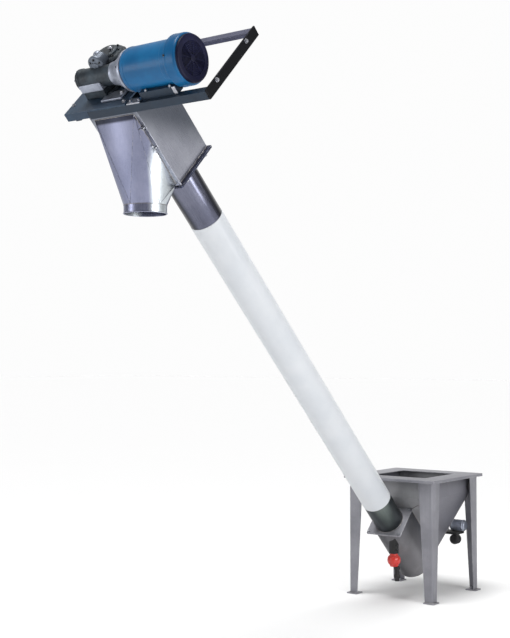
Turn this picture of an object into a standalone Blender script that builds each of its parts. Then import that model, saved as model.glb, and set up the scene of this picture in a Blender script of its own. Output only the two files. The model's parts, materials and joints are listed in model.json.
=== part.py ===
"""Inclined tube screw conveyor: square charging hopper on a four-leg stand,
round conveyor tube rising at 44 degrees, box-shaped discharge head with a
round down spout, and a right-angle geared motor on an open drive frame.

Units are metres and +Z is up. The world origin is the middle of the underside
of the front right foot plate. The conveyor rises towards -Y, and the motor
lies along +X. Pieces that follow the conveyor are placed in its own axes:
x across, y square to the tube and upwards, z along the tube.
"""

import math

import bmesh
import bpy
from mathutils import Matrix, Vector

# Gaps between pieces that touch
FIT = 0.0003

# Stand and hopper
STAND_WIDTH = 0.550
STAND_HEIGHT = 0.692
RIM_WIDTH = 0.604
RIM_THICK = 0.004
RIM_LIP = 0.016
RIM_OPENING = 0.352
LEG_TOP_WIDTH = 0.090
LEG_FOOT_WIDTH = 0.050
LEG_THICK = 0.005
FOOT_SIDE = 0.070
FOOT_THICK = 0.006
FOOT_OVERHANG = 0.015
HOPPER_TOP_WIDTH = 0.480
HOPPER_BEND_HEIGHT = 0.580
HOPPER_SEAM_GAP = 0.0005
SHEET = 0.003

# Conveyor line
INCLINE = math.radians(44.0)
AXIS_HEIGHT = 0.173
TUBE_OUTER = 0.168
TUBE_WALL = 0.005
SLEEVE_OUTER = 0.166
SLEEVE_WALL = 0.004
TROUGH_RADIUS = 0.100
TROUGH_TAIL = -0.010
TROUGH_END = 0.385
INLET_FLANGE_THICK = 0.008
TUBE_START = 0.585
TUBE_END = 2.686
AUGER_RADIUS = 0.073
AUGER_SHAFT_RADIUS = 0.024
AUGER_PITCH = 0.150
AUGER_FLIGHT_THICK = 0.004
AUGER_START = 0.015
AUGER_TURNS = 22

# Discharge head
HEAD_START = 2.997
HEAD_TOP = 3.4327
HEAD_HALF_WIDTH = 0.116
HEAD_FRONT = -0.150
HEAD_BACK = 0.130
END_PLATE_THICK = 0.010
TOP_PLATE_THICK = 0.008
TOP_PLATE_MARGIN = 0.044
CHUTE_START = 3.012
CHUTE_END = 3.395
CHUTE_FLANGE_THICK = 0.008
CHUTE_FLANGE_MARGIN = 0.022
SPOUT_RADIUS = 0.096
SPOUT_CENTRE_Y = -2.352
SPOUT_TOP = 2.056
SPOUT_BOTTOM = 2.018

# Drive frame, heights counted along the tube from the drive plate's top
PLATE_LEVEL = 3.487
PLATE_THICK = 0.008
PLATE_LEFT = -0.190
PLATE_RIGHT = 0.170
PLATE_LIP = 0.030
RAIL_LEG = 0.038
RAIL_THICK = 0.005
FRAME_HALF_DEPTH = 0.225
RAIL_START = -0.0575
FRAME_END = 0.607
END_BAR_THICK = 0.008
END_BAR_DEPTH = 0.046
CROSS_LEFT = -0.150
CROSS_RIGHT = 0.052
CROSS_WIDTH = 0.032

# Reducer and motor
WORM_BACK = -0.108
WORM_HEIGHT = 0.084
BARREL_RADIUS = 0.044
BARREL_LEFT = -0.092
BARREL_RIGHT = 0.100
MOTOR_START = 0.198
MOTOR_BODY_END = 0.455
FAN_COVER_END = 0.515
MOTOR_END = 0.527
MOTOR_RADIUS = 0.094
FAN_COVER_RADIUS = 0.107
DRUM_RADIUS = 0.078
CRADLE_START = 0.255
CRADLE_END = 0.452

ROUND = 32
CORNER_STEPS = 8
COVER_ROUND = 40


def clear_scene():
    for item in list(bpy.data.objects):
        bpy.data.objects.remove(item, do_unlink=True)
    for group in list(bpy.data.collections):
        bpy.data.collections.remove(group)


clear_scene()

assembly = bpy.data.collections.new("screw_conveyor")
cutters = bpy.data.collections.new("cutters")
bpy.context.scene.collection.children.link(assembly)
bpy.context.scene.collection.children.link(cutters)


def add_empty(name, location=(0, 0, 0), rotation=(0, 0, 0), parent=None):
    guide = bpy.data.objects.new(name, None)
    guide.empty_display_size = 0.1
    guide.location = location
    guide.rotation_euler = rotation
    guide.parent = parent
    assembly.objects.link(guide)
    return guide


FOOT_CENTRE = STAND_WIDTH / 2 + FOOT_OVERHANG - FOOT_SIDE / 2
stand_centre = add_empty("stand_centre", (-FOOT_CENTRE, FOOT_CENTRE, 0))
conveyor_axis = add_empty(
    "conveyor_axis", (0, 0, AXIS_HEIGHT), (math.pi / 2 - INCLINE, 0, 0), stand_centre
)
plate_top = add_empty("plate_top", (0, 0, PLATE_LEVEL), parent=conveyor_axis)
worm_axis = add_empty(
    "worm_axis", (0, WORM_BACK, WORM_HEIGHT), (0, math.pi / 2, 0), plate_top
)


def make_material(name, colour, roughness, metallic):
    material = bpy.data.materials.new(name)
    material.use_nodes = True
    shader = material.node_tree.nodes["Principled BSDF"]
    shader.inputs["Base Color"].default_value = (*colour, 1.0)
    shader.inputs["Roughness"].default_value = roughness
    shader.inputs["Metallic"].default_value = metallic
    material.diffuse_color = (*colour, 1.0)
    return material


STAND_GREY = make_material("stand_grey", (0.24, 0.24, 0.25), 0.5, 0.3)
STAINLESS = make_material("stainless_sheet", (0.55, 0.55, 0.60), 0.3, 1.0)
SLEEVE_STEEL = make_material("sleeve_steel", (0.42, 0.45, 0.44), 0.35, 1.0)
TUBE_WHITE = make_material("tube_white", (0.72, 0.73, 0.75), 0.4, 0.0)
FRAME_SLATE = make_material("frame_slate", (0.05, 0.07, 0.10), 0.45, 0.0)
PLATE_SLATE = make_material("plate_slate", (0.09, 0.12, 0.17), 0.45, 0.0)
CAST_DARK = make_material("cast_dark", (0.06, 0.08, 0.09), 0.5, 0.4)
CAST_LIGHT = make_material("cast_light", (0.38, 0.41, 0.45), 0.45, 0.5)
MOTOR_BLUE = make_material("motor_blue", (0.03, 0.15, 0.36), 0.35, 0.0)
COVER_NAVY = make_material("cover_navy", (0.02, 0.08, 0.20), 0.35, 0.0)
AUGER_STEEL = make_material("auger_steel", (0.45, 0.45, 0.46), 0.4, 1.0)
VALVE_RED = make_material("valve_red", (0.60, 0.04, 0.02), 0.4, 0.0)
RUBBER_BLACK = make_material("rubber_black", (0.02, 0.02, 0.02), 0.7, 0.0)


def link_mesh(name, mesh, material, parent, group=None):
    item = bpy.data.objects.new(name, mesh)
    (group or assembly).objects.link(item)
    item.parent = parent
    if material:
        mesh.materials.append(material)
    return item


def smooth(item, angle=40.0):
    item.data.shade_smooth()
    item.data.set_sharp_from_angle(angle=math.radians(angle))


def box_mesh(name, low, high):
    """A box from its lowest to its highest corner."""
    low = Vector(low)
    high = Vector(high)
    shape = bmesh.new()
    bmesh.ops.create_cube(shape, size=1.0)
    sides = high - low
    bmesh.ops.scale(shape, vec=sides, verts=shape.verts)
    bmesh.ops.translate(shape, vec=(low + high) / 2, verts=shape.verts)
    mesh = bpy.data.meshes.new(name)
    shape.to_mesh(mesh)
    shape.free()
    return mesh


def add_box(name, low, high, material, parent):
    return link_mesh(name, box_mesh(name, low, high), material, parent)


def rod_mesh(name, radius, start, end, sides=ROUND):
    """A round bar along local z."""
    shape = bmesh.new()
    bmesh.ops.create_cone(
        shape,
        cap_ends=True,
        segments=sides,
        radius1=radius,
        radius2=radius,
        depth=end - start,
    )
    bmesh.ops.translate(shape, vec=(0, 0, (start + end) / 2), verts=shape.verts)
    mesh = bpy.data.meshes.new(name)
    shape.to_mesh(mesh)
    shape.free()
    return mesh


def add_rod(name, radius, start, end, material, parent, sides=ROUND):
    item = link_mesh(name, rod_mesh(name, radius, start, end, sides), material, parent)
    smooth(item)
    return item


def add_turned(name, profile, material, parent, sides=ROUND, closed=False):
    """A shape turned round local z from (radius, z) points, top to bottom."""
    mesh = bpy.data.meshes.new(name)
    points = [(radius, 0.0, z) for radius, z in profile]
    edges = [(i, i + 1) for i in range(len(points) - 1)]
    if closed:
        edges.append((len(points) - 1, 0))
    mesh.from_pydata(points, edges, [])
    item = link_mesh(name, mesh, material, parent)
    turn = item.modifiers.new("turn", "SCREW")
    turn.angle = 2 * math.pi
    turn.steps = sides
    turn.render_steps = sides
    turn.use_merge_vertices = True
    turn.merge_threshold = 0.00005
    turn.use_smooth_shade = True
    item.modifiers.new("even_shading", "WEIGHTED_NORMAL")
    return item


def add_pipe(name, outer, wall, start, end, material, parent, sides=ROUND):
    """A hollow round pipe along local z."""
    inner = outer - wall
    profile = [(outer, end), (outer, start), (inner, start), (inner, end)]
    return add_turned(name, profile, material, parent, sides, closed=True)


def outline_mesh(name, points, thickness):
    """A flat plate in local x-y from its outline, centred on z = 0."""
    curve = bpy.data.curves.new(name, "CURVE")
    curve.dimensions = "2D"
    curve.fill_mode = "BOTH"
    curve.extrude = thickness / 2
    spline = curve.splines.new("POLY")
    spline.points.add(len(points) - 1)
    for point, (x, y) in zip(spline.points, points):
        point.co = (x, y, 0, 1)
    spline.use_cyclic_u = True
    guide = bpy.data.objects.new(name + "_outline", curve)
    bpy.context.scene.collection.objects.link(guide)
    state = bpy.context.evaluated_depsgraph_get()
    mesh = bpy.data.meshes.new_from_object(guide.evaluated_get(state))
    bpy.data.objects.remove(guide, do_unlink=True)
    shape = bmesh.new()
    shape.from_mesh(mesh)
    bmesh.ops.remove_doubles(shape, verts=shape.verts, dist=0.00002)
    bmesh.ops.recalc_face_normals(shape, faces=shape.faces)
    shape.to_mesh(mesh)
    shape.free()
    mesh.name = name
    mesh.materials.clear()
    return mesh


def add_section_bar(name, points, start, end, material, parent):
    """A bar along local x whose section is given as (y, z) points."""
    mesh = outline_mesh(name, points, end - start)
    turn = Matrix(((0, 0, 1), (1, 0, 0), (0, 1, 0))).to_4x4()
    mesh.transform(Matrix.Translation(((start + end) / 2, 0, 0)) @ turn)
    return link_mesh(name, mesh, material, parent)


def combine(item, name, mesh, operation, parent=None):
    """Cut a shape out of an item, or join a shape to it."""
    tool = link_mesh(name, mesh, None, parent or item.parent, cutters)
    tool.hide_render = True
    tool.display_type = "WIRE"
    step = item.modifiers.new(name, "BOOLEAN")
    step.operation = operation
    step.solver = "EXACT"
    step.object = tool
    return tool


def cut(item, name, mesh, parent=None):
    return combine(item, name, mesh, "DIFFERENCE", parent)


def join(item, name, mesh, parent=None):
    return combine(item, name, mesh, "UNION", parent)


def add_bent_wall(name, sections, material, parent):
    """A wall through four-point sections, each outer pair then inner pair.

    The fold in a twisted stretch runs from the first point of the upper
    section to the second point of the lower one, outside and inside alike.
    """
    shape = bmesh.new()
    rows = [[shape.verts.new(point) for point in section] for section in sections]
    for upper, lower in zip(rows, rows[1:]):
        for i in range(4):
            j = (i + 1) % 4
            if i < 2:
                shape.faces.new((upper[i], upper[j], lower[j]))
                shape.faces.new((upper[i], lower[j], lower[i]))
            else:
                shape.faces.new((upper[i], upper[j], lower[i]))
                shape.faces.new((upper[j], lower[j], lower[i]))
    shape.faces.new(rows[0])
    shape.faces.new(rows[-1])
    return link_shape(name, shape, material, parent)


def link_shape(name, shape, material, parent):
    bmesh.ops.recalc_face_normals(shape, faces=shape.faces)
    mesh = bpy.data.meshes.new(name)
    shape.to_mesh(mesh)
    shape.free()
    return link_mesh(name, mesh, material, parent)


def to_stand(x, y, z):
    """Turn conveyor axes into the stand's upright axes."""
    across = Vector((1, 0, 0))
    above = Vector((0, math.sin(INCLINE), math.cos(INCLINE)))
    along = Vector((0, -math.cos(INCLINE), math.sin(INCLINE)))
    return Vector((0, 0, AXIS_HEIGHT)) + across * x + above * y + along * z


def build_stand():
    corner = STAND_WIDTH / 2
    leg_top = STAND_HEIGHT - RIM_THICK - FIT
    for side_name, side in (("left", -1), ("right", 1)):
        for end_name, end in (("front", -1), ("back", 1)):
            place = f"{end_name}_{side_name}"
            outline = [
                (0, FOOT_THICK / 2),
                (0, leg_top),
                (-LEG_TOP_WIDTH, leg_top),
                (-LEG_FOOT_WIDTH, FOOT_THICK / 2),
            ]
            across = outline_mesh("leg_" + place, outline, LEG_THICK)
            upright = Matrix.Rotation(math.pi / 2, 4, "X")
            across.transform(Matrix.Translation((0, -LEG_THICK / 2, 0)) @ upright)
            along = outline_mesh("leg_side_" + place, outline, LEG_THICK)
            turned = Matrix.Rotation(math.pi / 2, 4, "Z") @ upright
            along.transform(Matrix.Translation((-LEG_THICK / 2, 0, 0)) @ turned)
            leg = link_mesh("leg_" + place, across, STAND_GREY, stand_centre)
            turn = {(1, 1): 0, (-1, 1): 1, (-1, -1): 2, (1, -1): 3}[(side, end)]
            leg.location = (side * corner, end * corner, 0)
            leg.rotation_euler = (0, 0, turn * math.pi / 2)
            tool = join(leg, "leg_side_" + place, along)
            tool.location = leg.location
            tool.rotation_euler = leg.rotation_euler
            half = FOOT_SIDE / 2
            middle = Vector((side * FOOT_CENTRE, end * FOOT_CENTRE, 0))
            join(
                leg, "foot_plate_" + place,
                box_mesh(
                    "foot_plate_" + place,
                    middle - Vector((half, half, 0)),
                    middle + Vector((half, half, FOOT_THICK)),
                ),
                stand_centre,
            )


def build_rim():
    half = RIM_WIDTH / 2
    top = STAND_HEIGHT
    rim = add_box(
        "hopper_rim", (-half, -half, top - RIM_LIP), (half, half, top), STAND_GREY, stand_centre
    )
    inside = half - RIM_THICK
    cut(
        rim,
        "rim_pocket",
        box_mesh(
            "rim_pocket", (-inside, -inside, top - 0.05), (inside, inside, top - RIM_THICK)
        ),
    )
    opening = RIM_OPENING / 2
    cut(
        rim,
        "rim_opening",
        box_mesh("rim_opening", (-opening, -opening, top - 0.1), (opening, opening, top + 0.1)),
    )


def build_hopper():
    """Four folded walls from the square top down to the trough's open top."""
    top = STAND_HEIGHT - RIM_THICK - FIT
    level = TROUGH_RADIUS + FIT
    wide = HOPPER_TOP_WIDTH / 2

    def corner(side, end, inset):
        """The top, bend and throat points of one corner edge."""
        half = wide - inset
        throat = TROUGH_TAIL + inset if end > 0 else TROUGH_END - inset
        return [
            Vector((side * half, end * half, top)),
            Vector((side * half, end * half, HOPPER_BEND_HEIGHT)),
            to_stand(side * (TROUGH_RADIUS - inset), level, throat),
        ]

    walls = {
        "right": ((1, -1), (1, 1)),
        "left": ((-1, -1), (-1, 1)),
        "front": ((-1, -1), (1, -1)),
        "back": ((-1, 1), (1, 1)),
    }
    for name, (first, second) in walls.items():
        along = Vector((second[0] - first[0], second[1] - first[1], 0)).normalized()
        downhill = Vector((0, math.cos(INCLINE), -math.sin(INCLINE)))
        low_along = along if name in ("front", "back") else downhill
        eases = [along * HOPPER_SEAM_GAP] * 2 + [low_along * HOPPER_SEAM_GAP]
        corners = zip(
            corner(*first, 0), corner(*second, 0), corner(*second, SHEET), corner(*first, SHEET),
            eases,
        )
        sections = [(a + e, b - e, c - e, d + e) for a, b, c, d, e in corners]
        add_bent_wall("hopper_wall_" + name, sections, STAND_GREY, stand_centre)


def trough_section(radius, top, steps=16):
    """A U section: round bottom, upright sides, open at the top."""
    points = [(radius, top)]
    points += [
        (radius * math.cos(angle), radius * math.sin(angle))
        for angle in (-math.pi * i / steps for i in range(steps + 1))
    ]
    points.append((-radius, top))
    return points


def build_trough():
    length = TROUGH_END - TROUGH_TAIL
    middle = (TROUGH_END + TROUGH_TAIL) / 2
    outer = outline_mesh("charging_trough", trough_section(TROUGH_RADIUS, TROUGH_RADIUS), length)
    outer.transform(Matrix.Translation((0, 0, middle)))
    trough = link_mesh("charging_trough", outer, STAND_GREY, conveyor_axis)
    bore = outline_mesh(
        "trough_bore", trough_section(TROUGH_RADIUS - SHEET, TROUGH_RADIUS + 0.02), length + 0.02
    )
    bore.transform(Matrix.Translation((0, 0, middle)))
    cut(trough, "trough_bore", bore)
    plate = outline_mesh(
        "trough_tail_plate", trough_section(TROUGH_RADIUS, TROUGH_RADIUS), SHEET
    )
    plate.transform(Matrix.Translation((0, 0, TROUGH_TAIL - FIT - SHEET / 2)))
    link_mesh("trough_tail_plate", plate, STAND_GREY, conveyor_axis)


def build_inlet():
    start = TROUGH_END + FIT
    end = start + INLET_FLANGE_THICK
    half = TROUGH_RADIUS + 0.012
    flange = add_box(
        "inlet_flange", (-half, -TROUGH_RADIUS, start), (half, TROUGH_RADIUS, end), STAND_GREY,
        conveyor_axis,
    )
    bore = SLEEVE_OUTER / 2 - SLEEVE_WALL
    cut(flange, "inlet_bore", rod_mesh("inlet_bore", bore, start - 0.01, end + 0.01))
    add_pipe(
        "inlet_sleeve", SLEEVE_OUTER / 2, SLEEVE_WALL, end + FIT, TUBE_START - FIT,
        SLEEVE_STEEL, conveyor_axis,
    )


def build_tube():
    add_pipe(
        "conveyor_tube", TUBE_OUTER / 2, TUBE_WALL, TUBE_START, TUBE_END, TUBE_WHITE,
        conveyor_axis,
    )
    add_pipe(
        "discharge_sleeve", SLEEVE_OUTER / 2, SLEEVE_WALL, TUBE_END + FIT,
        HEAD_START - END_PLATE_THICK - 2 * FIT, STAINLESS, conveyor_axis,
    )


def build_auger():
    add_rod(
        "auger_shaft", AUGER_SHAFT_RADIUS, AUGER_START, PLATE_LEVEL, AUGER_STEEL,
        conveyor_axis, 16,
    )
    inner = AUGER_SHAFT_RADIUS / math.cos(math.pi / 12) + FIT
    half = AUGER_FLIGHT_THICK / 2
    points = [
        (AUGER_RADIUS, 0, half), (AUGER_RADIUS, 0, -half), (inner, 0, -half), (inner, 0, half)
    ]
    mesh = bpy.data.meshes.new("auger_flight")
    mesh.from_pydata(points, [(0, 1), (1, 2), (2, 3), (3, 0)], [])
    flight = link_mesh("auger_flight", mesh, AUGER_STEEL, conveyor_axis)
    wind = flight.modifiers.new("wind", "SCREW")
    wind.angle = 2 * math.pi
    wind.screw_offset = AUGER_PITCH
    wind.iterations = AUGER_TURNS
    wind.steps = 12
    wind.render_steps = 12
    wind.use_smooth_shade = False
    state = bpy.context.evaluated_depsgraph_get()
    wound = bpy.data.meshes.new_from_object(flight.evaluated_get(state))
    shape = bmesh.new()
    shape.from_mesh(wound)
    ends = [edge for edge in shape.edges if edge.is_boundary]
    bmesh.ops.holes_fill(shape, edges=ends, sides=4)
    bmesh.ops.recalc_face_normals(shape, faces=shape.faces)
    shape.to_mesh(wound)
    shape.free()
    flight.modifiers.clear()
    flight.data = wound
    flight.location = (0, 0, AUGER_START + 0.02)


def build_head():
    centre = (HEAD_FRONT + HEAD_BACK) / 2
    half_depth = (HEAD_BACK - HEAD_FRONT) / 2
    end_start = HEAD_START - END_PLATE_THICK - FIT
    margin = 0.022
    end_plate = add_box(
        "housing_end_plate",
        (-HEAD_HALF_WIDTH - margin, HEAD_FRONT - 0.010, end_start),
        (HEAD_HALF_WIDTH + margin, HEAD_BACK + 0.008, HEAD_START - FIT),
        STAINLESS,
        conveyor_axis,
    )
    bore = SLEEVE_OUTER / 2 - SLEEVE_WALL
    cut(
        end_plate, "end_plate_bore",
        rod_mesh("end_plate_bore", bore, end_start - 0.02, HEAD_START + 0.02),
    )
    shell = add_box(
        "housing_shell",
        (-HEAD_HALF_WIDTH, HEAD_FRONT, HEAD_START),
        (HEAD_HALF_WIDTH, HEAD_BACK, HEAD_TOP),
        STAINLESS,
        conveyor_axis,
    )
    inside = HEAD_HALF_WIDTH - SHEET
    cut(
        shell, "housing_inside",
        box_mesh(
            "housing_inside",
            (-inside, HEAD_FRONT + SHEET, HEAD_START - 0.02),
            (inside, HEAD_BACK - SHEET, HEAD_TOP + 0.02),
        ),
    )
    cut(
        shell, "housing_outlet",
        box_mesh(
            "housing_outlet",
            (-inside + 0.008, HEAD_FRONT - 0.02, CHUTE_START + 0.010),
            (inside - 0.008, HEAD_FRONT + 0.02, CHUTE_END - 0.010),
        ),
    )
    top_start = HEAD_TOP + FIT
    top_plate = add_box(
        "housing_top_plate",
        (-HEAD_HALF_WIDTH - TOP_PLATE_MARGIN, centre - half_depth - 0.012, top_start),
        (HEAD_HALF_WIDTH + TOP_PLATE_MARGIN, centre + half_depth + 0.012,
         top_start + TOP_PLATE_THICK),
        STAINLESS,
        conveyor_axis,
    )
    cut(
        top_plate, "top_plate_bore",
        rod_mesh(
            "top_plate_bore", AUGER_SHAFT_RADIUS + FIT, top_start - 0.02, top_start + 0.04, 24
        ),
    )


def outlet_point(angle, radius):
    x = radius * math.cos(angle)
    y = SPOUT_CENTRE_Y + radius * math.sin(angle)
    return Vector((x, y, SPOUT_TOP + FIT))


def touching_angle(start, end, radius):
    """Where a flat side through one mouth edge just touches the round outlet."""
    edge = end - start

    def side(angle):
        tangent = Vector((-math.sin(angle), math.cos(angle), 0))
        return (outlet_point(angle, radius) - start).dot(edge.cross(tangent))

    low = -0.9
    high = 0.9
    for _ in range(40):
        middle = (low + high) / 2
        if side(low) * side(middle) <= 0:
            high = middle
        else:
            low = middle
    return (low + high) / 2


def add_chute_skin(shape, inset, level):
    """Four flat sides and four coned corners, from square mouth to round outlet."""
    wide = HEAD_HALF_WIDTH - inset
    low = CHUTE_START + inset
    high = CHUTE_END - inset
    radius = SPOUT_RADIUS - inset
    places = ((wide, high), (-wide, high), (-wide, low), (wide, low))
    mouth = [shape.verts.new(to_stand(x, level, z)) for x, z in places]
    right = touching_angle(mouth[3].co, mouth[0].co, radius)
    folds = (right, -math.pi / 2, -math.pi - right, -3 * math.pi / 2, right - 2 * math.pi)
    ring = []
    for start, end in zip(folds, folds[1:]):
        for i in range(CORNER_STEPS):
            angle = start + (end - start) * i / CORNER_STEPS
            ring.append(shape.verts.new(outlet_point(angle, radius)))
    for k, corner in enumerate(mouth):
        for i in range(CORNER_STEPS):
            here = k * CORNER_STEPS + i
            shape.faces.new((corner, ring[here], ring[(here + 1) % len(ring)]))
        apex = ring[(k + 1) * CORNER_STEPS % len(ring)]
        shape.faces.new((corner, apex, mouth[(k + 1) % 4]))
    return mouth, ring


def build_chute():
    face = HEAD_FRONT - FIT
    back = face - CHUTE_FLANGE_THICK
    edge = HEAD_HALF_WIDTH + CHUTE_FLANGE_MARGIN
    flange = add_box(
        "chute_flange",
        (-edge, back, CHUTE_START - 0.010),
        (edge, face, CHUTE_END + CHUTE_FLANGE_MARGIN),
        STAINLESS,
        conveyor_axis,
    )
    inside = HEAD_HALF_WIDTH - SHEET - 0.008
    cut(
        flange, "chute_flange_opening",
        box_mesh(
            "chute_flange_opening",
            (-inside, back - 0.02, CHUTE_START + 0.010),
            (inside, face + 0.02, CHUTE_END - 0.010),
        ),
    )

    shape = bmesh.new()
    outer = add_chute_skin(shape, 0.0, back - FIT)
    inner = add_chute_skin(shape, SHEET, back - FIT)
    for outside, inside in zip(outer, inner):
        for i in range(len(outside)):
            j = (i + 1) % len(outside)
            shape.faces.new((outside[i], outside[j], inside[j], inside[i]))
    chute = link_shape("discharge_chute", shape, STAINLESS, stand_centre)
    smooth(chute, 15)
    ring = add_pipe(
        "spout_ring", SPOUT_RADIUS, SHEET, SPOUT_BOTTOM, SPOUT_TOP, STAINLESS, stand_centre
    )
    ring.location = (0, SPOUT_CENTRE_Y, 0)


def rail_section(outside, inward):
    """An angle section: leg on top pointing inwards, web outside."""
    low = -PLATE_THICK - RAIL_LEG
    top = -PLATE_THICK
    points = [
        (0, low), (RAIL_THICK, low), (RAIL_THICK, top - RAIL_THICK),
        (RAIL_LEG, top - RAIL_THICK), (RAIL_LEG, top), (0, top),
    ]
    return [(outside + inward * y, z) for y, z in points]


def build_frame():
    depth = FRAME_HALF_DEPTH
    rail_end = FRAME_END - END_BAR_THICK - FIT
    for name, outside, inward in (("front", -depth, 1), ("back", depth, -1)):
        add_section_bar(
            "frame_rail_" + name, rail_section(outside, inward), RAIL_START, rail_end,
            FRAME_SLATE, plate_top,
        )
    add_box(
        "frame_end_bar", (FRAME_END - END_BAR_THICK, -depth, -END_BAR_DEPTH),
        (FRAME_END, depth, 0), FRAME_SLATE, plate_top,
    )
    plate = add_box(
        "drive_plate", (PLATE_LEFT, -depth, -PLATE_THICK + FIT), (PLATE_RIGHT, depth, 0),
        PLATE_SLATE, plate_top,
    )
    low = -PLATE_THICK - PLATE_LIP
    overlap = -PLATE_THICK / 2
    lips = {
        "left_lip": ((PLATE_LEFT, -depth, low), (PLATE_LEFT + RAIL_THICK, depth, overlap)),
        "front_lip": ((PLATE_LEFT, -depth, low),
                      (RAIL_START - FIT, -depth + RAIL_THICK, overlap)),
        "back_lip": ((PLATE_LEFT, depth - RAIL_THICK, low),
                     (RAIL_START - FIT, depth, overlap)),
    }
    for name, (low_corner, high_corner) in lips.items():
        join(plate, "plate_" + name, box_mesh("plate_" + name, low_corner, high_corner))
    cut(
        plate, "plate_bore", rod_mesh("plate_bore", AUGER_SHAFT_RADIUS + FIT, -0.05, 0.05, 24)
    )
    web = depth - RAIL_THICK - FIT
    under = -PLATE_THICK - RAIL_THICK - FIT
    floor = HEAD_TOP + FIT + TOP_PLATE_THICK + FIT - PLATE_LEVEL
    for name, start in (("left", CROSS_LEFT), ("right", CROSS_RIGHT)):
        add_box(
            "frame_cross_" + name, (start, -web, floor), (start + CROSS_WIDTH, web, under),
            FRAME_SLATE, plate_top,
        )


def build_reducer():
    radius = DRUM_RADIUS
    rib = radius + 0.008
    case_profile = [
        (0.0, 0.140), (0.046, 0.140), (0.056, 0.134), (0.056, 0.124), (0.070, 0.124),
        (radius, 0.116), (radius, 0.108), (rib, 0.106), (rib, 0.098), (radius, 0.096),
        (radius, 0.088), (rib, 0.086), (rib, 0.078), (radius, 0.076),
        (radius, 0.020), (0.0, 0.020),
    ]
    case = add_turned("gear_case", case_profile, CAST_DARK, plate_top, 28)
    join(
        case, "case_barrel", rod_mesh("case_barrel", BARREL_RADIUS, BARREL_LEFT, BARREL_RIGHT, 24),
        worm_axis,
    )
    join(
        case, "case_web",
        box_mesh("case_web", (-0.060, WORM_BACK, 0.050), (0.050, -0.020, 0.110)),
    )
    base = add_box(
        "gear_base", (-0.105, -0.140, FIT), (0.050, 0.100, 0.0197), CAST_LIGHT, plate_top
    )
    join(
        base, "base_foot",
        box_mesh("base_foot", (0.010, -0.185, FIT), (0.128, -0.120, 0.012)),
    )
    join(
        base, "base_pedestal",
        box_mesh("base_pedestal", (-0.092, -0.158, 0.010), (0.033, -0.088, 0.082)),
    )
    cut(
        base, "pedestal_saddle",
        rod_mesh("pedestal_saddle", BARREL_RADIUS + FIT, -0.2, 0.2, 24), worm_axis,
    )
    cut(
        base, "pedestal_drum",
        rod_mesh("pedestal_drum", rib + FIT, 0.0197, 0.2, 28),
    )
    end = BARREL_LEFT - FIT
    add_turned(
        "worm_end_cap",
        [(0.0, end), (0.047, end), (0.047, end - 0.007), (0.038, end - 0.012),
         (0.0, end - 0.012)],
        CAST_DARK, worm_axis, 24,
    )
    bell = MOTOR_START - FIT
    add_turned(
        "input_adapter",
        [(0.0, bell), (0.088, bell), (0.088, bell - 0.016), (0.076, bell - 0.026),
         (0.058, 0.135), (0.050, 0.115), (0.050, BARREL_RIGHT + FIT),
         (0.0, BARREL_RIGHT + FIT)],
        CAST_LIGHT, worm_axis, 28,
    )


def shoulder(radius, end, bend, steps=4):
    """A rounded outer corner as profile points, from the end face outwards."""
    angles = [math.pi / 2 * i / steps for i in range(steps + 1)]
    return [
        (radius - bend + bend * math.sin(angle), end - bend + bend * math.cos(angle))
        for angle in angles
    ]


def build_motor():
    cover = shoulder(FAN_COVER_RADIUS, FAN_COVER_END, 0.010)
    add_turned(
        "motor_body",
        [(0.0, FAN_COVER_END)] + cover + [
            (FAN_COVER_RADIUS, MOTOR_BODY_END), (MOTOR_RADIUS, MOTOR_BODY_END - 0.002),
            (MOTOR_RADIUS, MOTOR_START + 0.014), (MOTOR_RADIUS - 0.010, MOTOR_START),
            (0.0, MOTOR_START),
        ],
        MOTOR_BLUE, worm_axis, COVER_ROUND,
    )
    dish = shoulder(FAN_COVER_RADIUS - 0.008, MOTOR_END, 0.006)
    start = FAN_COVER_END + FIT
    add_turned(
        "motor_fan_cover",
        [(0.0, MOTOR_END)] + dish + [(FAN_COVER_RADIUS - 0.008, start), (0.0, start)],
        COVER_NAVY, worm_axis, COVER_ROUND,
    )
    for name, side in (("front", -1), ("back", 1)):
        edges = sorted((WORM_BACK + side * 0.058, WORM_BACK + side * 0.098))
        cradle = add_box(
            "motor_cradle_" + name, (CRADLE_START, edges[0], FIT - PLATE_THICK),
            (CRADLE_END, edges[1], 0.028), FRAME_SLATE, plate_top,
        )
        cut(
            cradle, "saddle_" + name,
            rod_mesh("saddle_" + name, MOTOR_RADIUS + FIT, 0.2, 0.5, 80), worm_axis,
        )
    inner_edge = WORM_BACK + 0.112
    low = -PLATE_THICK - RAIL_LEG
    points = [
        (0, low), (-RAIL_THICK, low), (-RAIL_THICK, -PLATE_THICK - RAIL_THICK),
        (-RAIL_LEG, -PLATE_THICK - RAIL_THICK), (-RAIL_LEG, -PLATE_THICK), (0, -PLATE_THICK),
    ]
    add_section_bar(
        "motor_rail_inner", [(inner_edge + y, z) for y, z in points],
        CROSS_RIGHT + CROSS_WIDTH + FIT, CRADLE_END, FRAME_SLATE, plate_top,
    )
    back = WORM_BACK + MOTOR_RADIUS
    conduit = add_box(
        "conduit_box", (0.290, back - 0.020, WORM_HEIGHT - 0.055),
        (0.400, back + 0.045, WORM_HEIGHT + 0.022), MOTOR_BLUE, plate_top,
    )
    cut(
        conduit, "conduit_saddle",
        rod_mesh("conduit_saddle", MOTOR_RADIUS + FIT, 0.2, 0.5, 80), worm_axis,
    )


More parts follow.
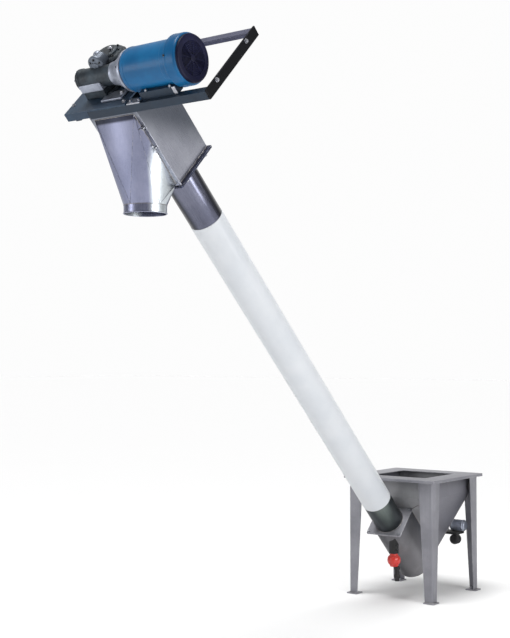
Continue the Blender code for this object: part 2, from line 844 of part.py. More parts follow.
def build_fittings():
    vibrator = add_empty("vibrator_place", (0.195, 0.195, 0.385), parent=stand_centre)
    across = add_empty("vibrator_axis", (0, 0, 0), (0, math.pi / 2, 0), vibrator)
    add_rod("vibrator_body", 0.034, -0.050, 0.045, CAST_LIGHT, across, 24)
    rotor = add_empty("rotor_axis", (-0.010, -0.030, -0.080), (math.pi / 2, 0, 0), vibrator)
    add_rod("vibrator_rotor", 0.030, -0.030, 0.020, RUBBER_BLACK, rotor, 20)
    add_box(
        "vibrator_bracket", (-0.090, -0.0641, -0.0497), (0.020, 0.030, -0.0343), RUBBER_BLACK,
        vibrator,
    )
    valve = add_empty("valve_place", (0.035, -0.290, 0.227), parent=stand_centre)
    add_turned(
        "valve_body",
        [(0.0, 0.037), (0.020, 0.036), (0.034, 0.022), (0.038, 0.0), (0.034, -0.022),
         (0.020, -0.036), (0.0, -0.037)],
        VALVE_RED, valve, 20,
    )
    outlet = add_empty("outlet_axis", (0.014, 0.010, 0), parent=valve)
    add_rod("valve_outlet", 0.018, -0.120, -0.0373, RUBBER_BLACK, outlet, 20)
    mount = add_box(
        "valve_mount", (-0.020, -0.020, 0.0373), (0.020, 0.020, 0.130), RUBBER_BLACK, valve
    )
    cut(
        mount, "mount_saddle", rod_mesh("mount_saddle", TROUGH_RADIUS + FIT, -0.2, 0.6, 64),
        conveyor_axis,
    )


build_stand()
build_rim()
build_hopper()
build_trough()
build_inlet()
build_tube()
build_auger()
build_head()
build_chute()
build_frame()
build_reducer()
build_motor()
build_fittings()
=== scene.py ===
"""Looks for the inclined tube screw conveyor: sheet steel with weld seams,
painted tube and frame, geared motor, bolts and wing nuts, fan grille, and
the finish of every surface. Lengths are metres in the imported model's frame.
"""

import json
import math

import bmesh
import bpy
from mathutils import Matrix, Vector


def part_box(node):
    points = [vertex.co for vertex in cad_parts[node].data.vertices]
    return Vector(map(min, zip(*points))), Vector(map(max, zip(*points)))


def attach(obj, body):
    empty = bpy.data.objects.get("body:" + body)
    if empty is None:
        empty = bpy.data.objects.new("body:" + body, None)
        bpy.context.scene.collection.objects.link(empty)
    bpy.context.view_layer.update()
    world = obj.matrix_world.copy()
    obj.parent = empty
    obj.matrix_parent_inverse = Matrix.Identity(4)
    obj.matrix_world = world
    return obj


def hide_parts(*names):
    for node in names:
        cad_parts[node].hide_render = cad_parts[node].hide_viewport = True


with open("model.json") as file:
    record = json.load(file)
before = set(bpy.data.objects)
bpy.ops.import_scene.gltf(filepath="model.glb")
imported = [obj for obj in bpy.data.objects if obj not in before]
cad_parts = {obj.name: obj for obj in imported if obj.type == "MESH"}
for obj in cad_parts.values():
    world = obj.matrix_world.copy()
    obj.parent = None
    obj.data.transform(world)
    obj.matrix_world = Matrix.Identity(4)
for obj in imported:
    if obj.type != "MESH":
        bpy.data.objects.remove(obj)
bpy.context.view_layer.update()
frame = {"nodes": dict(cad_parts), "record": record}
SLOTS = {part["node"]: part["material_slot"] for part in frame["record"]["subparts"]}
RIM_LOW, RIM_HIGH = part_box("hopper_rim")

# Driving sizes, as in the solids
FIT = 0.0003
SHEET = 0.003
INCLINE = math.radians(44.0)
AXIS_HEIGHT = 0.173
FOOT_SIDE = 0.070
FOOT_THICK = 0.006
FOOT_OVERHANG = 0.015
LEG_TOP_WIDTH = 0.090
LEG_FOOT_WIDTH = 0.050
LEG_THICK = 0.005
STAND_HALF = 0.275
RIM_THICK = 0.004
RIM_OPENING = 0.352
HOPPER_HALF = 0.240
HOPPER_BEND_HEIGHT = 0.580
TROUGH_RADIUS = 0.100
TROUGH_TAIL = -0.010
TROUGH_END = 0.385
INLET_FLANGE_THICK = 0.008
SLEEVE_RADIUS = 0.083
SLEEVE_WALL = 0.004
TUBE_RADIUS = 0.084
TUBE_WALL = 0.005
TUBE_START = 0.585
TUBE_END = 2.686
AUGER_RADIUS = 0.073
AUGER_SHAFT_RADIUS = 0.024
AUGER_PITCH = 0.150
AUGER_START = 0.035
AUGER_TURNS = 22.0
SHAFT_START = 0.015
HEAD_START = 2.997
HEAD_TOP = 3.4327
HEAD_HALF_WIDTH = 0.116
HEAD_FRONT = -0.150
HEAD_BACK = 0.130
END_PLATE_THICK = 0.010
TOP_PLATE_THICK = 0.008
CHUTE_START = 3.012
CHUTE_END = 3.395
CHUTE_FLANGE_THICK = 0.008
SPOUT_RADIUS = 0.096
SPOUT_CENTRE_Y = -2.352
SPOUT_TOP = 2.056
SPOUT_BOTTOM = 2.018
PLATE_LEVEL = 3.487
PLATE_LEFT = -0.190
PLATE_RIGHT = 0.170
FRAME_HALF_DEPTH = 0.225
FRAME_END = 0.607
END_BAR_THICK = 0.008
WORM_BACK = -0.108
WORM_HEIGHT = 0.084
BARREL_RADIUS = 0.044
BARREL_LEFT = -0.092
BARREL_RIGHT = 0.100
MOTOR_START = 0.198
MOTOR_BODY_END = 0.455
FAN_COVER_END = 0.515
MOTOR_END = 0.527
MOTOR_RADIUS = 0.094
FAN_COVER_RADIUS = 0.107
DRUM_RADIUS = 0.078

ROUND = 96
CHUTE_STEPS = 24
CHUTE_FOLD_ANGLE = 12.0
QUARTER = math.pi / 2


def placed(base, offset, turn=0.0, axis="Z"):
    """A place offset from another one and then turned about an axis."""
    return base @ Matrix.Translation(offset) @ Matrix.Rotation(turn, 4, axis)


# Places of the working axes in the frame
RIM_TOP = RIM_HIGH.z
RIM_HALF = (RIM_HIGH.x - RIM_LOW.x) / 2
RIM_UNDERSIDE = RIM_TOP - RIM_THICK
STAND_OFFSET = (RIM_LOW.x + RIM_HIGH.x) / 2
STAND = Matrix.Translation((STAND_OFFSET, -STAND_OFFSET, 0))
LINE = placed(STAND, (0, 0, AXIS_HEIGHT), QUARTER - INCLINE, "X")
DRIVE = placed(LINE, (0, 0, PLATE_LEVEL))
WORM = placed(DRIVE, (0, WORM_BACK, WORM_HEIGHT), QUARTER, "Y")


def to_stand(x, y, z):
    """Conveyor axes to the stand's upright axes."""
    return STAND.inverted() @ LINE @ Vector((x, y, z))


def linear(red, green, blue):
    """A tone given from 0 to 255, in linear light."""
    shares = [value / 255 for value in (red, green, blue)]
    return (*(s / 12.92 if s <= 0.04045 else ((s + 0.055) / 1.055) ** 2.4 for s in shares), 1.0)


# Node trees

ORIGIN = (0.0, 0.0, 0.0)
UP = (0, 0, 1)
DOWN = (0, 0, -1)
SOCKET_KINDS = {float: "Float", int: "Int", tuple: "Vector"}


class Nodes:
    """A node tree with short ways to add nodes and to join them."""

    def __init__(self, tree):
        self.tree = tree

    def feed(self, node, key, value):
        """Sets an input, by name or by number, from a socket or a plain value."""
        named = [socket for socket in node.inputs if socket.name == key and socket.enabled]
        socket = named[0] if named else node.inputs[key]
        if isinstance(value, bpy.types.NodeSocket):
            self.tree.links.new(value, socket)
        elif value is not None:
            socket.default_value = value

    def add(self, kind, feeds=None, **settings):
        node = self.tree.nodes.new(kind)
        for key, value in settings.items():
            setattr(node, key, value)
        for key, value in (feeds or {}).items():
            self.feed(node, key, value)
        return node

    def math(self, operation, first, second=None, clamp=False):
        feeds = {0: first, 1: second}
        return self.add("ShaderNodeMath", feeds, operation=operation, use_clamp=clamp).outputs[0]

    def times(self, first, second):
        return self.math("MULTIPLY", first, second)

    def plus(self, first, second):
        return self.math("ADD", first, second)

    def dot(self, first, second):
        feeds = {0: first, 1: second}
        return self.add("ShaderNodeVectorMath", feeds, operation="DOT_PRODUCT").outputs["Value"]

    def noise(self, vector, scale, detail=4.0, roughness=0.55):
        feeds = {"Vector": vector, "Scale": scale, "Detail": detail, "Roughness": roughness}
        return self.add("ShaderNodeTexNoise", feeds).outputs["Fac"]

    def ramp(self, value, low, high, out_low=0.0, out_high=1.0):
        """Maps a value from one range to another, with smooth ends."""
        feeds = {"Value": value, "From Min": low, "From Max": high, "To Min": out_low,
                 "To Max": out_high}
        node = self.add("ShaderNodeMapRange", feeds, interpolation_type="SMOOTHSTEP")
        return node.outputs["Result"]

    def split(self, vector):
        return self.add("ShaderNodeSeparateXYZ", {"Vector": vector}).outputs

    def combine(self, x=0.0, y=0.0, z=0.0):
        return self.add("ShaderNodeCombineXYZ", {"X": x, "Y": y, "Z": z}).outputs["Vector"]

    def normal(self):
        return self.add("ShaderNodeNewGeometry").outputs["Normal"]


class Group(Nodes):
    """A node group. Its inputs take their kinds from their first values."""

    def __init__(self, name, inputs, outputs, kind="ShaderNodeTree"):
        super().__init__(bpy.data.node_groups.new(name, kind))
        for label, value in inputs.items():
            plain = not isinstance(value, str)
            kind = "NodeSocket" + (SOCKET_KINDS[type(value)] if plain else value)
            socket = self.tree.interface.new_socket(label, in_out="INPUT", socket_type=kind)
            if plain:
                socket.default_value = value
        for label, kind in outputs.items():
            self.tree.interface.new_socket(
                label, in_out="OUTPUT", socket_type="NodeSocket" + kind
            )
        self.given = self.tree.nodes.new("NodeGroupInput").outputs
        self.result = self.tree.nodes.new("NodeGroupOutput")

    def close(self, **results):
        for label, value in results.items():
            self.feed(self.result, label, value)
        return self.tree


# Shader groups


def build_grain_group():
    """Fine surface texture: cloudy tone and fine grain."""
    group = Group(
        "surface_grain", {"Vector": ORIGIN, "Cloud Scale": 6.0, "Grain Scale": 420.0},
        {"Cloud": "Float", "Grain": "Float"},
    )
    cloud = group.noise(group.given["Vector"], group.given["Cloud Scale"], 5.0, 0.6)
    grain = group.noise(group.given["Vector"], group.given["Grain Scale"], 3.0, 0.5)
    return group.close(Cloud=group.ramp(cloud, 0.32, 0.68), Grain=grain)


def build_edge_group():
    """Worn edges: where the rounded normal departs from the face's own."""
    group = Group(
        "edge_wear", {"Vector": ORIGIN, "Width": 0.003, "Amount": 0.5}, {"Mask": "Float"}
    )
    rounding = group.add("ShaderNodeBevel", {"Radius": group.given["Width"]}, samples=4)
    edge = group.ramp(group.dot(rounding.outputs["Normal"], group.normal()), 0.995, 0.86)
    chips = group.ramp(group.noise(group.given["Vector"], 38.0, 6.0, 0.7), 0.42, 0.58)
    worn = group.times(edge, chips)
    return group.close(Mask=group.math("MULTIPLY", worn, group.given["Amount"], clamp=True))


def build_dust_group():
    """Settled dust: thin on faces that look up, broken by soft patches."""
    group = Group(
        "settled_dust", {"Vector": ORIGIN, "Amount": 0.3, "Patch Scale": 9.0},
        {"Mask": "Float"},
    )
    upward = group.ramp(group.split(group.normal())["Z"], 0.35, 0.95)
    patches = group.noise(group.given["Vector"], group.given["Patch Scale"], 6.0, 0.65)
    dust = group.times(upward, group.ramp(patches, 0.35, 0.7, 0.35, 1.0))
    return group.close(Mask=group.math("MULTIPLY", dust, group.given["Amount"], clamp=True))


def build_brush_group():
    """Long brush lines: stretched noise, fine for height and broad for tone."""
    group = Group(
        "brush_lines", {"Vector": ORIGIN, "Across": 900.0, "Along": 9.0},
        {"Lines": "Float", "Broad": "Float"},
    )
    across = group.given["Across"]
    stretch = group.combine(across, across, group.given["Along"])
    scaled = group.add(
        "ShaderNodeVectorMath", {0: group.given["Vector"], 1: stretch}, operation="MULTIPLY"
    ).outputs["Vector"]
    broad = group.noise(scaled, 0.12, 3.0, 0.6)
    return group.close(Lines=group.noise(scaled, 1.0, 3.0, 0.6), Broad=group.ramp(broad, 0.3, 0.7))


GRAIN_GROUP = build_grain_group()
EDGE_GROUP = build_edge_group()
DUST_GROUP = build_dust_group()
BRUSH_GROUP = build_brush_group()


# Materials

# Tones of painted shade: the band of shade, and the shade on grazing sides
SHADE_TONE = (84, 90, 100)
SIDE_SHADE_TONE = (30, 33, 42)
UPRIGHT = ORIGIN
ALONG_TUBE = (QUARTER - INCLINE, 0.0, 0.0)
# Stretches of a normal's part over which a face counts as facing a way, for painted light and
# shade
FACING_RIGHT = (0.72, 0.93)
FACING_UP = (0.05, 0.25)
FACING_DOWN = (-0.1, 0.1, 1.0, 0.0)
# How strong the painted shade band is, and how fast grazing sides fade to painted shade
SHADE_STRENGTH = 0.85
SIDE_SHADE_FADE = 0.3


class Finish(Nodes):
    """A material being built, with its shader and its pattern's vector."""

    def __init__(self, name, roughness, metallic=0.0, along=UPRIGHT, **shader_values):
        self.material = bpy.data.materials.new(name)
        self.material.use_nodes = True
        super().__init__(self.material.node_tree)
        self.shader = self.tree.nodes["Principled BSDF"]
        self.set(Metallic=metallic, Roughness=roughness, **shader_values)
        place = self.add("ShaderNodeTexCoord").outputs["Object"]
        feeds = {"Vector": place, "Rotation": along}
        mapping = self.add("ShaderNodeMapping", feeds, vector_type="TEXTURE")
        self.vector = mapping.outputs["Vector"]

    def set(self, **values):
        for key, value in values.items():
            self.feed(self.shader, key.replace("_", " "), value)

    def layer(self, group, **values):
        feeds = {key.replace("_", " "): value for key, value in values.items()}
        return self.add(
            "ShaderNodeGroup", {"Vector": self.vector, **feeds}, node_tree=group
        ).outputs

    def grain(self, cloud_scale, grain_scale):
        layer = self.layer(GRAIN_GROUP, Cloud_Scale=cloud_scale, Grain_Scale=grain_scale)
        return layer["Cloud"], layer["Grain"]

    def edge(self, width, amount):
        return self.layer(EDGE_GROUP, Width=width, Amount=amount)["Mask"]

    def dust(self, amount, patch_scale=9.0):
        return self.layer(DUST_GROUP, Amount=amount, Patch_Scale=patch_scale)["Mask"]

    def mix(self, factor, first, second, strength=1.0):
        """Mixes two colours, given as sockets or as tones from 0 to 255."""
        if strength != 1.0:
            factor = self.times(factor, strength)
        first, second = (
            linear(*value) if isinstance(value, tuple) else value for value in (first, second)
        )
        feeds = {"Factor": factor, "A": first, "B": second}
        node = self.add("ShaderNodeMix", feeds, data_type="RGBA")
        return next(socket for socket in node.outputs if socket.type == "RGBA")

    def close(self, colour, roughness, height, bump, distance):
        feeds = {"Height": height, "Strength": bump, "Distance": distance}
        relief = self.add("ShaderNodeBump", feeds).outputs["Normal"]
        self.set(Base_Color=colour, Roughness=roughness, Normal=relief)
        return self.material


def painted(
    name, colour, deep, roughness, worn, wear=0.6, dust=0.04, coat=0.0, orange_peel=260.0,
    specular=0.3,
):
    """Paint on steel: cloudy tone, orange peel, worn edges and thin dust."""
    finish = Finish(
        name, roughness, Specular_IOR_Level=specular, Coat_Weight=coat, Coat_Roughness=0.12
    )
    cloud, grain = finish.grain(5.0, orange_peel)
    edge = finish.edge(0.003, wear)
    settled = finish.dust(dust)
    base = finish.mix(edge, finish.mix(cloud, deep, colour), worn)
    rough = finish.ramp(cloud, 0.0, 1.0, roughness - 0.05, roughness + 0.06)
    rough = finish.plus(rough, finish.times(settled, 0.35))
    rough = finish.plus(rough, finish.times(edge, 0.12))
    return finish.close(finish.mix(settled, base, (150, 150, 150)), rough, grain, 0.12, 0.0004)


def sheet_steel(
    name, colour, deep, roughness, along=UPRIGHT, metallic=1.0, across=900.0, dust=0.15,
    cloud_scale=4.0, bright=(224.61, 224.61, 227.24), edge_width=0.003, shade_band=None,
    shade_tone=SHADE_TONE, shade_lean=0.0, shade_below_only=False, side_shade=0.0, side_shade_from=0.36,
    right_face_shading=None, inside=None,
):
    """Brushed or rolled sheet: brush lines, cloudy tone and bright edges.

    The shade band is the stretch along the brush over which painted shade of the
    shade tone sets in. Its lean slants that stretch across the sheet, and it can be
    kept to the faces that look down. The side shade tells how much painted shade
    darkens a curved side towards its grazing edges, from where it begins. The
    right-face shading is a tone painted on the flat panels that face +X: painted
    light where it is lighter, painted shade where it is darker. inside is painted
    light on the faces that look up.
    """
    finish = Finish(name, roughness, metallic, along)
    brush = finish.layer(BRUSH_GROUP, Across=across, Along=7.0)
    cloud, grain = finish.grain(cloud_scale, 520.0)
    settled = finish.dust(dust)
    base = finish.mix(cloud, deep, colour)
    base = finish.mix(brush["Broad"], base, deep, 0.35)
    base = finish.mix(finish.edge(edge_width, 0.55), base, bright)
    facing = finish.split(finish.normal())
    # Painted light and shade by facing: a tone on the flat panels facing +X, and painted light on
    # the faces that look up
    if right_face_shading:
        base = finish.mix(finish.ramp(facing["X"], *FACING_RIGHT), base, right_face_shading)
    if inside:
        base = finish.mix(finish.ramp(facing["Z"], *FACING_UP), base, inside)
    # Painted shade: a band of the shade tone that sets in along the sheet's height
    if shade_band:
        place = finish.split(finish.vector)
        slanted = finish.plus(place["Z"], finish.times(place["Y"], shade_lean))
        shade_mask = finish.ramp(slanted, *shade_band)
        if shade_below_only:
            shade_mask = finish.times(shade_mask, finish.ramp(facing["Z"], *FACING_DOWN))
        base = finish.mix(shade_mask, base, shade_tone, SHADE_STRENGTH)
    # Painted shade: curved sides darken towards their grazing edges
    if side_shade:
        side = finish.add("ShaderNodeLayerWeight", {"Blend": 0.5}).outputs["Facing"]
        grazing_shade = finish.ramp(side, side_shade_from, side_shade_from + SIDE_SHADE_FADE)
        base = finish.mix(grazing_shade, base, SIDE_SHADE_TONE, side_shade)
    rough = finish.ramp(brush["Lines"], 0.3, 0.7, roughness - 0.07, roughness + 0.09)
    rough = finish.plus(rough, finish.times(cloud, 0.06))
    rough = finish.plus(rough, finish.times(settled, 0.4))
    height = finish.plus(brush["Lines"], finish.times(grain, 0.4))
    return finish.close(finish.mix(settled, base, (170, 168, 162)), rough, height, 0.10, 0.0003)


def cast_metal(name, colour, deep, roughness, metallic, wear=0.5):
    """A casting: coarse sand texture under paint, with rubbed edges."""
    finish = Finish(name, roughness, metallic)
    cloud, grain = finish.grain(14.0, 170.0)
    settled = finish.dust(0.12, 22.0)
    base = finish.mix(cloud, deep, colour)
    base = finish.mix(finish.edge(0.0025, wear), base, (168, 174, 180))
    rough = finish.ramp(grain, 0.3, 0.7, roughness - 0.06, roughness + 0.10)
    rough = finish.plus(rough, finish.times(settled, 0.3))
    return finish.close(finish.mix(settled, base, (150, 148, 142)), rough, grain, 0.35, 0.0008)


def rubber(name, colour, deep):
    """Dull rubber with a fine grain and patches of dust."""
    finish = Finish(name, 0.62)
    cloud, grain = finish.grain(18.0, 600.0)
    base = finish.mix(cloud, deep, colour)
    dusty = finish.mix(finish.dust(0.35, 30.0), base, (120, 118, 112))
    return finish.close(dusty, finish.ramp(grain, 0.3, 0.7, 0.5, 0.75), grain, 0.25, 0.0004)


def weld_metal():
    """Bead of weld: bright ripples with straw and blue heat tint."""
    finish = Finish("weld_bead", 0.36, 1.0)
    cloud, grain = finish.grain(60.0, 800.0)
    base = finish.mix(cloud, (128, 122, 118), (176, 174, 172))
    return finish.close(finish.mix(grain, base, (98, 96, 108), 0.5), None, grain, 0.3, 0.0005)


# Stretches over which painted shade sets in: towards the head's top under the drive frame, at the
# chute's top under the frame, on the hopper under the rim, and on the trough's upper part
SHADE_OFFSET = (LINE.to_3x3() @ Vector((0, 1, 1))).dot(LINE.translation)
HEAD_SHADE = (SHADE_OFFSET + HEAD_START + 0.06, SHADE_OFFSET + HEAD_TOP - 0.14)
CHUTE_TOP = (LINE @ Vector((0, HEAD_FRONT, CHUTE_END))).z
CHUTE_SHADOW = (CHUTE_TOP - 0.034, CHUTE_TOP - 0.022)
UNDER_RIM_SHADE = (RIM_TOP - 0.085, RIM_TOP - 0.02)
TROUGH_SHADE = (0.24, 0.42)
BLASTED = {"metallic": 0.4, "across": 260.0}

STAND_STEEL = sheet_steel(
    "stand_blasted_steel", (148, 148, 155), (122, 122, 129), 0.44, dust=0.06, **BLASTED
)
# Hopper steel: painted shade under the rim on the faces that look down, painted shade on the flat
# panels facing +X, painted light on the faces that look up, and a base tone lighter than the
# stand's as painted light
HOPPER_STEEL = sheet_steel(
    "hopper_blasted_steel", (176, 176, 180), (148, 148, 152), 0.44, dust=0.04, shade_band=UNDER_RIM_SHADE,
    shade_tone=(44, 45, 50), shade_below_only=True, right_face_shading=(112, 112, 120),
    inside=(236, 236, 238), **BLASTED,
)
# Trough steel: painted shade on its upper part and on its curved sides
TROUGH_STEEL = sheet_steel(
    "trough_blasted_steel", (152, 151, 154), (126, 125, 129), 0.44, dust=0.04,
    shade_band=TROUGH_SHADE, shade_tone=(82, 82, 88), side_shade=0.7, side_shade_from=0.32, **BLASTED,
)
# Head steel, darker towards the top as painted shade under the drive frame
HEAD_STEEL = sheet_steel(
    "head_brushed_steel", (196, 198, 208), (170, 172, 184), 0.30, ALONG_TUBE, dust=0.08,
    shade_band=HEAD_SHADE, shade_lean=1.0,
)
# A darker copy of the head steel, as painted shade on the end plate and on the chute's fold lines
END_PLATE_SHADE_STEEL = sheet_steel(
    "end_plate_dark_steel", (84, 88, 108), (60, 64, 84), 0.36, ALONG_TUBE, dust=0.03
)
# Chute steel: a painted shadow band below the frame at the top, painted light on the flat side
# facing +X, and a base tone darker than the head's as painted shade
CHUTE_STEEL = sheet_steel(
    "chute_brushed_steel", (142, 145, 168), (124, 128, 152), 0.28, dust=0.05,
    shade_band=CHUTE_SHADOW, shade_tone=(18, 22, 30), right_face_shading=(206, 213, 218),
)
# Inlet sleeve: painted shade on its curved sides
SLEEVE_STEEL = sheet_steel(
    "sleeve_grey_green_steel", (126, 134, 130), (100, 110, 107), 0.34, ALONG_TUBE,
    metallic=0.85, bright=(170, 178, 174), side_shade=0.85, side_shade_from=0.14,
)
# Outlet tube: painted shade on its curved sides
TUBE_STEEL = sheet_steel(
    "outlet_tube_steel", (120, 122, 138), (94, 96, 112), 0.20, ALONG_TUBE, side_shade=0.95,
    side_shade_from=0.28,
)
AUGER_STEEL = sheet_steel(
    "auger_worn_steel", (170, 168, 165), (128, 124, 120), 0.34, ALONG_TUBE, across=380.0
)
BOLT_STEEL = sheet_steel(
    "bolt_zinc_steel", (196, 198, 204), (160, 162, 170), 0.30, across=1200.0,
    cloud_scale=40.0, edge_width=0.001,
)
TUBE_PAINT = painted(
    "tube_white_paint", (204, 207, 211), (197, 201, 206), 0.38, (150, 150, 152), wear=0.35,
    specular=0.35,
)
FRAME_PAINT = painted(
    "frame_slate_paint", (34, 50, 66), (22, 36, 52), 0.46, (104, 116, 132)
)
END_BAR_PAINT = painted(
    "end_bar_black_paint", (10, 11, 17), (4, 5, 9), 0.55, (96, 100, 116), wear=0.45, dust=0.0,
    specular=0.12,
)
PLATE_PAINT = painted(
    "plate_slate_paint", (48, 68, 88), (32, 50, 70), 0.46, (120, 134, 148), dust=0.08
)
# A lighter grey copy of the frame's slate paint, as painted light on the back rail's lit inner
# face
BACK_RAIL_LIT_PAINT = painted(
    "back_rail_grey_paint", (92, 94, 116), (72, 74, 96), 0.46, (128, 132, 148), wear=0.5
)
MOTOR_PAINT = painted(
    "motor_blue_paint", (16, 104, 156), (4, 82, 130), 0.42, (96, 146, 178), wear=0.35,
    dust=0.0, coat=0.05, orange_peel=340.0, specular=0.25,
)
COVER_PAINT = painted(
    "fan_cover_navy_paint", (20, 22, 60), (8, 10, 36), 0.5, (52, 60, 104), wear=0.35,
    dust=0.0, specular=0.18,
)
VALVE_PAINT = painted(
    "valve_red_paint", (208, 44, 32), (178, 30, 24), 0.32, (150, 120, 112), wear=0.4,
    dust=0.2, coat=0.4, specular=0.5,
)
CAST_DARK = cast_metal("gear_case_dark_cast", (52, 64, 74), (26, 34, 42), 0.50, 0.25, 0.8)
CAST_MID = cast_metal("side_cover_grey_cast", (112, 120, 132), (84, 92, 104), 0.40, 0.5)
CAST_LIGHT = cast_metal("gear_base_light_cast", (166, 172, 186), (134, 140, 154), 0.40, 0.7)
DARK_BOLT = cast_metal("black_bolt_steel", (54, 56, 60), (32, 34, 38), 0.42, 0.8)
RUBBER_BLACK = rubber("black_rubber", (34, 34, 36), (20, 20, 22))
WELD = weld_metal()


# Mesh helpers

SHARP_ANGLE = 35.0
BEVEL_ANGLE = math.radians(28)
SAME_PLANE = math.radians(1.0)
SAME_POINT = 0.00003
ON_AXIS = 0.00001
MOST_OF_HALF = 0.49


def finish_mesh(shape, smooth_angle=SHARP_ANGLE):
    """Closes the work on a bmesh: outward faces, smooth with sharp folds."""
    bmesh.ops.recalc_face_normals(shape, faces=shape.faces)
    mesh = bpy.data.meshes.new("piece")
    shape.to_mesh(mesh)
    shape.free()
    mesh.shade_smooth()
    mesh.set_sharp_from_angle(angle=math.radians(smooth_angle))
    return mesh


def show(name, mesh, material, place, slot, *replaced, bevel=0.0, segments=2):
    """Puts a finished mesh in the scene, with its place in its vertices."""
    mesh.name = name
    mesh.transform(place)
    mesh.materials.clear()
    mesh.materials.append(material)
    item = bpy.data.objects.new(name, mesh)
    bpy.context.scene.collection.objects.link(item)
    if bevel:
        edge = item.modifiers.new("rounded_edges", "BEVEL")
        edge.width = bevel
        edge.segments = segments
        edge.limit_method = "ANGLE"
        edge.angle_limit = BEVEL_ANGLE
        edge.harden_normals = True
    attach(item, "root")
    if replaced:
        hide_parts(*replaced)


def rounded(points, radius, steps=4):
    """Rounds the inner corners of an open line of (x, y) points."""
    result = [points[0]]
    for before, corner, after in zip(points, points[1:], points[2:]):
        corner = Vector(corner)
        back = Vector(before) - corner
        ahead = Vector(after) - corner
        reach = min(radius, back.length * MOST_OF_HALF, ahead.length * MOST_OF_HALF)
        start = corner + back.normalized() * reach
        end = corner + ahead.normalized() * reach
        for i in range(steps + 1):
            t = i / steps
            result.append(tuple(start * (1 - t) ** 2 + corner * 2 * t * (1 - t) + end * t ** 2))
    result.append(points[-1])
    return result


def circle_points(radius, count, height=0.0, first=0.0):
    angles = (first + 2 * math.pi * i / count for i in range(count))
    return [(radius * math.cos(a), radius * math.sin(a), height) for a in angles]


def turned(profile, steps=ROUND, closed=False):
    """A shape turned round local z from (radius, z) points."""
    shape = bmesh.new()
    rings = []
    for radius, z in profile:
        points = circle_points(radius, steps, z) if radius > ON_AXIS else [(0, 0, z)]
        rings.append([shape.verts.new(point) for point in points])
    pairs = list(zip(rings, rings[1:]))
    if closed:
        pairs.append((rings[-1], rings[0]))
    for here, there in pairs:
        for i in range(steps):
            j = (i + 1) % steps
            face = [here[i % len(here)], here[j % len(here)], there[j % len(there)],
                    there[i % len(there)]]
            face = list(dict.fromkeys(face))
            if len(face) > 2:
                shape.faces.new(face)
    return finish_mesh(shape)


def show_turned(name, profile, ease, steps, material, place, slot, *replaced):
    """Shows a turned piece, closed to its axis where its profile stops short.

    ease is the rounding of its corners and the steps of each.
    """
    first, last = ([(0, z)] if radius else [] for radius, z in (profile[0], profile[-1]))
    mesh = turned(rounded(first + profile + last, *ease), steps)
    show(name, mesh, material, place, slot, *replaced)


def extruded(outline, low, high):
    """A solid sheet between two heights, from a closed outline."""
    return loft([at_height(outline, height) for height in (low, high)], capped=True)


def pipe(outer, wall, start, end, steps=ROUND, ease=0.0012):
    """A hollow round pipe with eased rims."""
    inner = outer - wall
    middle = (outer, (start + end) / 2)
    corners = [(outer, start), (inner, start), (inner, end), (outer, end)]
    return turned(rounded([middle] + corners + [middle], ease, 3)[:-1], steps, closed=True)


def loft(rings, closed_along=False, capped=False):
    """Skins closed rings of equal point counts."""
    shape = bmesh.new()
    rows = [[shape.verts.new(point) for point in ring] for ring in rings]
    pairs = list(zip(rows, rows[1:]))
    if closed_along:
        pairs.append((rows[-1], rows[0]))
    for here, there in pairs:
        for i in range(len(here)):
            j = (i + 1) % len(here)
            shape.faces.new((here[i], here[j], there[j], there[i]))
    if capped:
        shape.faces.new(rows[0])
        shape.faces.new(rows[-1])
    return finish_mesh(shape)


def show_block(name, low, high, material, slot, *replaced, place=DRIVE, **bevel):
    """Shows a plain block, given its edges by a Bevel."""
    low, high = Vector(low), Vector(high)
    shape = bmesh.new()
    bmesh.ops.create_cube(shape, size=1.0)
    bmesh.ops.scale(shape, vec=high - low, verts=shape.verts)
    bmesh.ops.translate(shape, vec=(low + high) / 2, verts=shape.verts)
    show(name, finish_mesh(shape), material, place, slot, *replaced, **bevel)


def dress(node, material, bevel, segments=2):
    """Shows a node's own shape again, with whole faces, rounded edges and a finish."""
    shape = bmesh.new()
    shape.from_mesh(frame["nodes"][node].data)
    bmesh.ops.remove_doubles(shape, verts=shape.verts, dist=SAME_POINT)
    bmesh.ops.dissolve_limit(
        shape, angle_limit=SAME_PLANE, verts=shape.verts, edges=shape.edges
    )
    show(
        node + "_shown", finish_mesh(shape), material, Matrix.Identity(4), SLOTS[node], node,
        bevel=bevel, segments=segments,
    )


# Geometry trees

FULL_SPIN = 6.283
SPIN_SEED = 7
BAR_SIDES = 8
# Shares of a hex head's width across its flats
HEX_CORNER = 0.57735
HEX_CROWN = 0.46
HEX_STUD = 0.29
HEX_HEIGHT = 0.42
HEX_WASHER = 1.45
HEX_WASHER_THICK = 0.13
CROWN_HEIGHT = 0.0006
SEAM_BEAD = 0.0022
SEAM_POINTS = 60
RIPPLE = 0.0032
# Shares of a bead's radius: the least and the span, for its ripples and its slow wander
BEAD_SWELL = (0.84, 0.22)
BEAD_WANDER = (0.85, 0.3)
FLIGHT_STEPS = 36
FLIGHT_THICK = 0.004
FLIGHT_MERGE = 0.00002


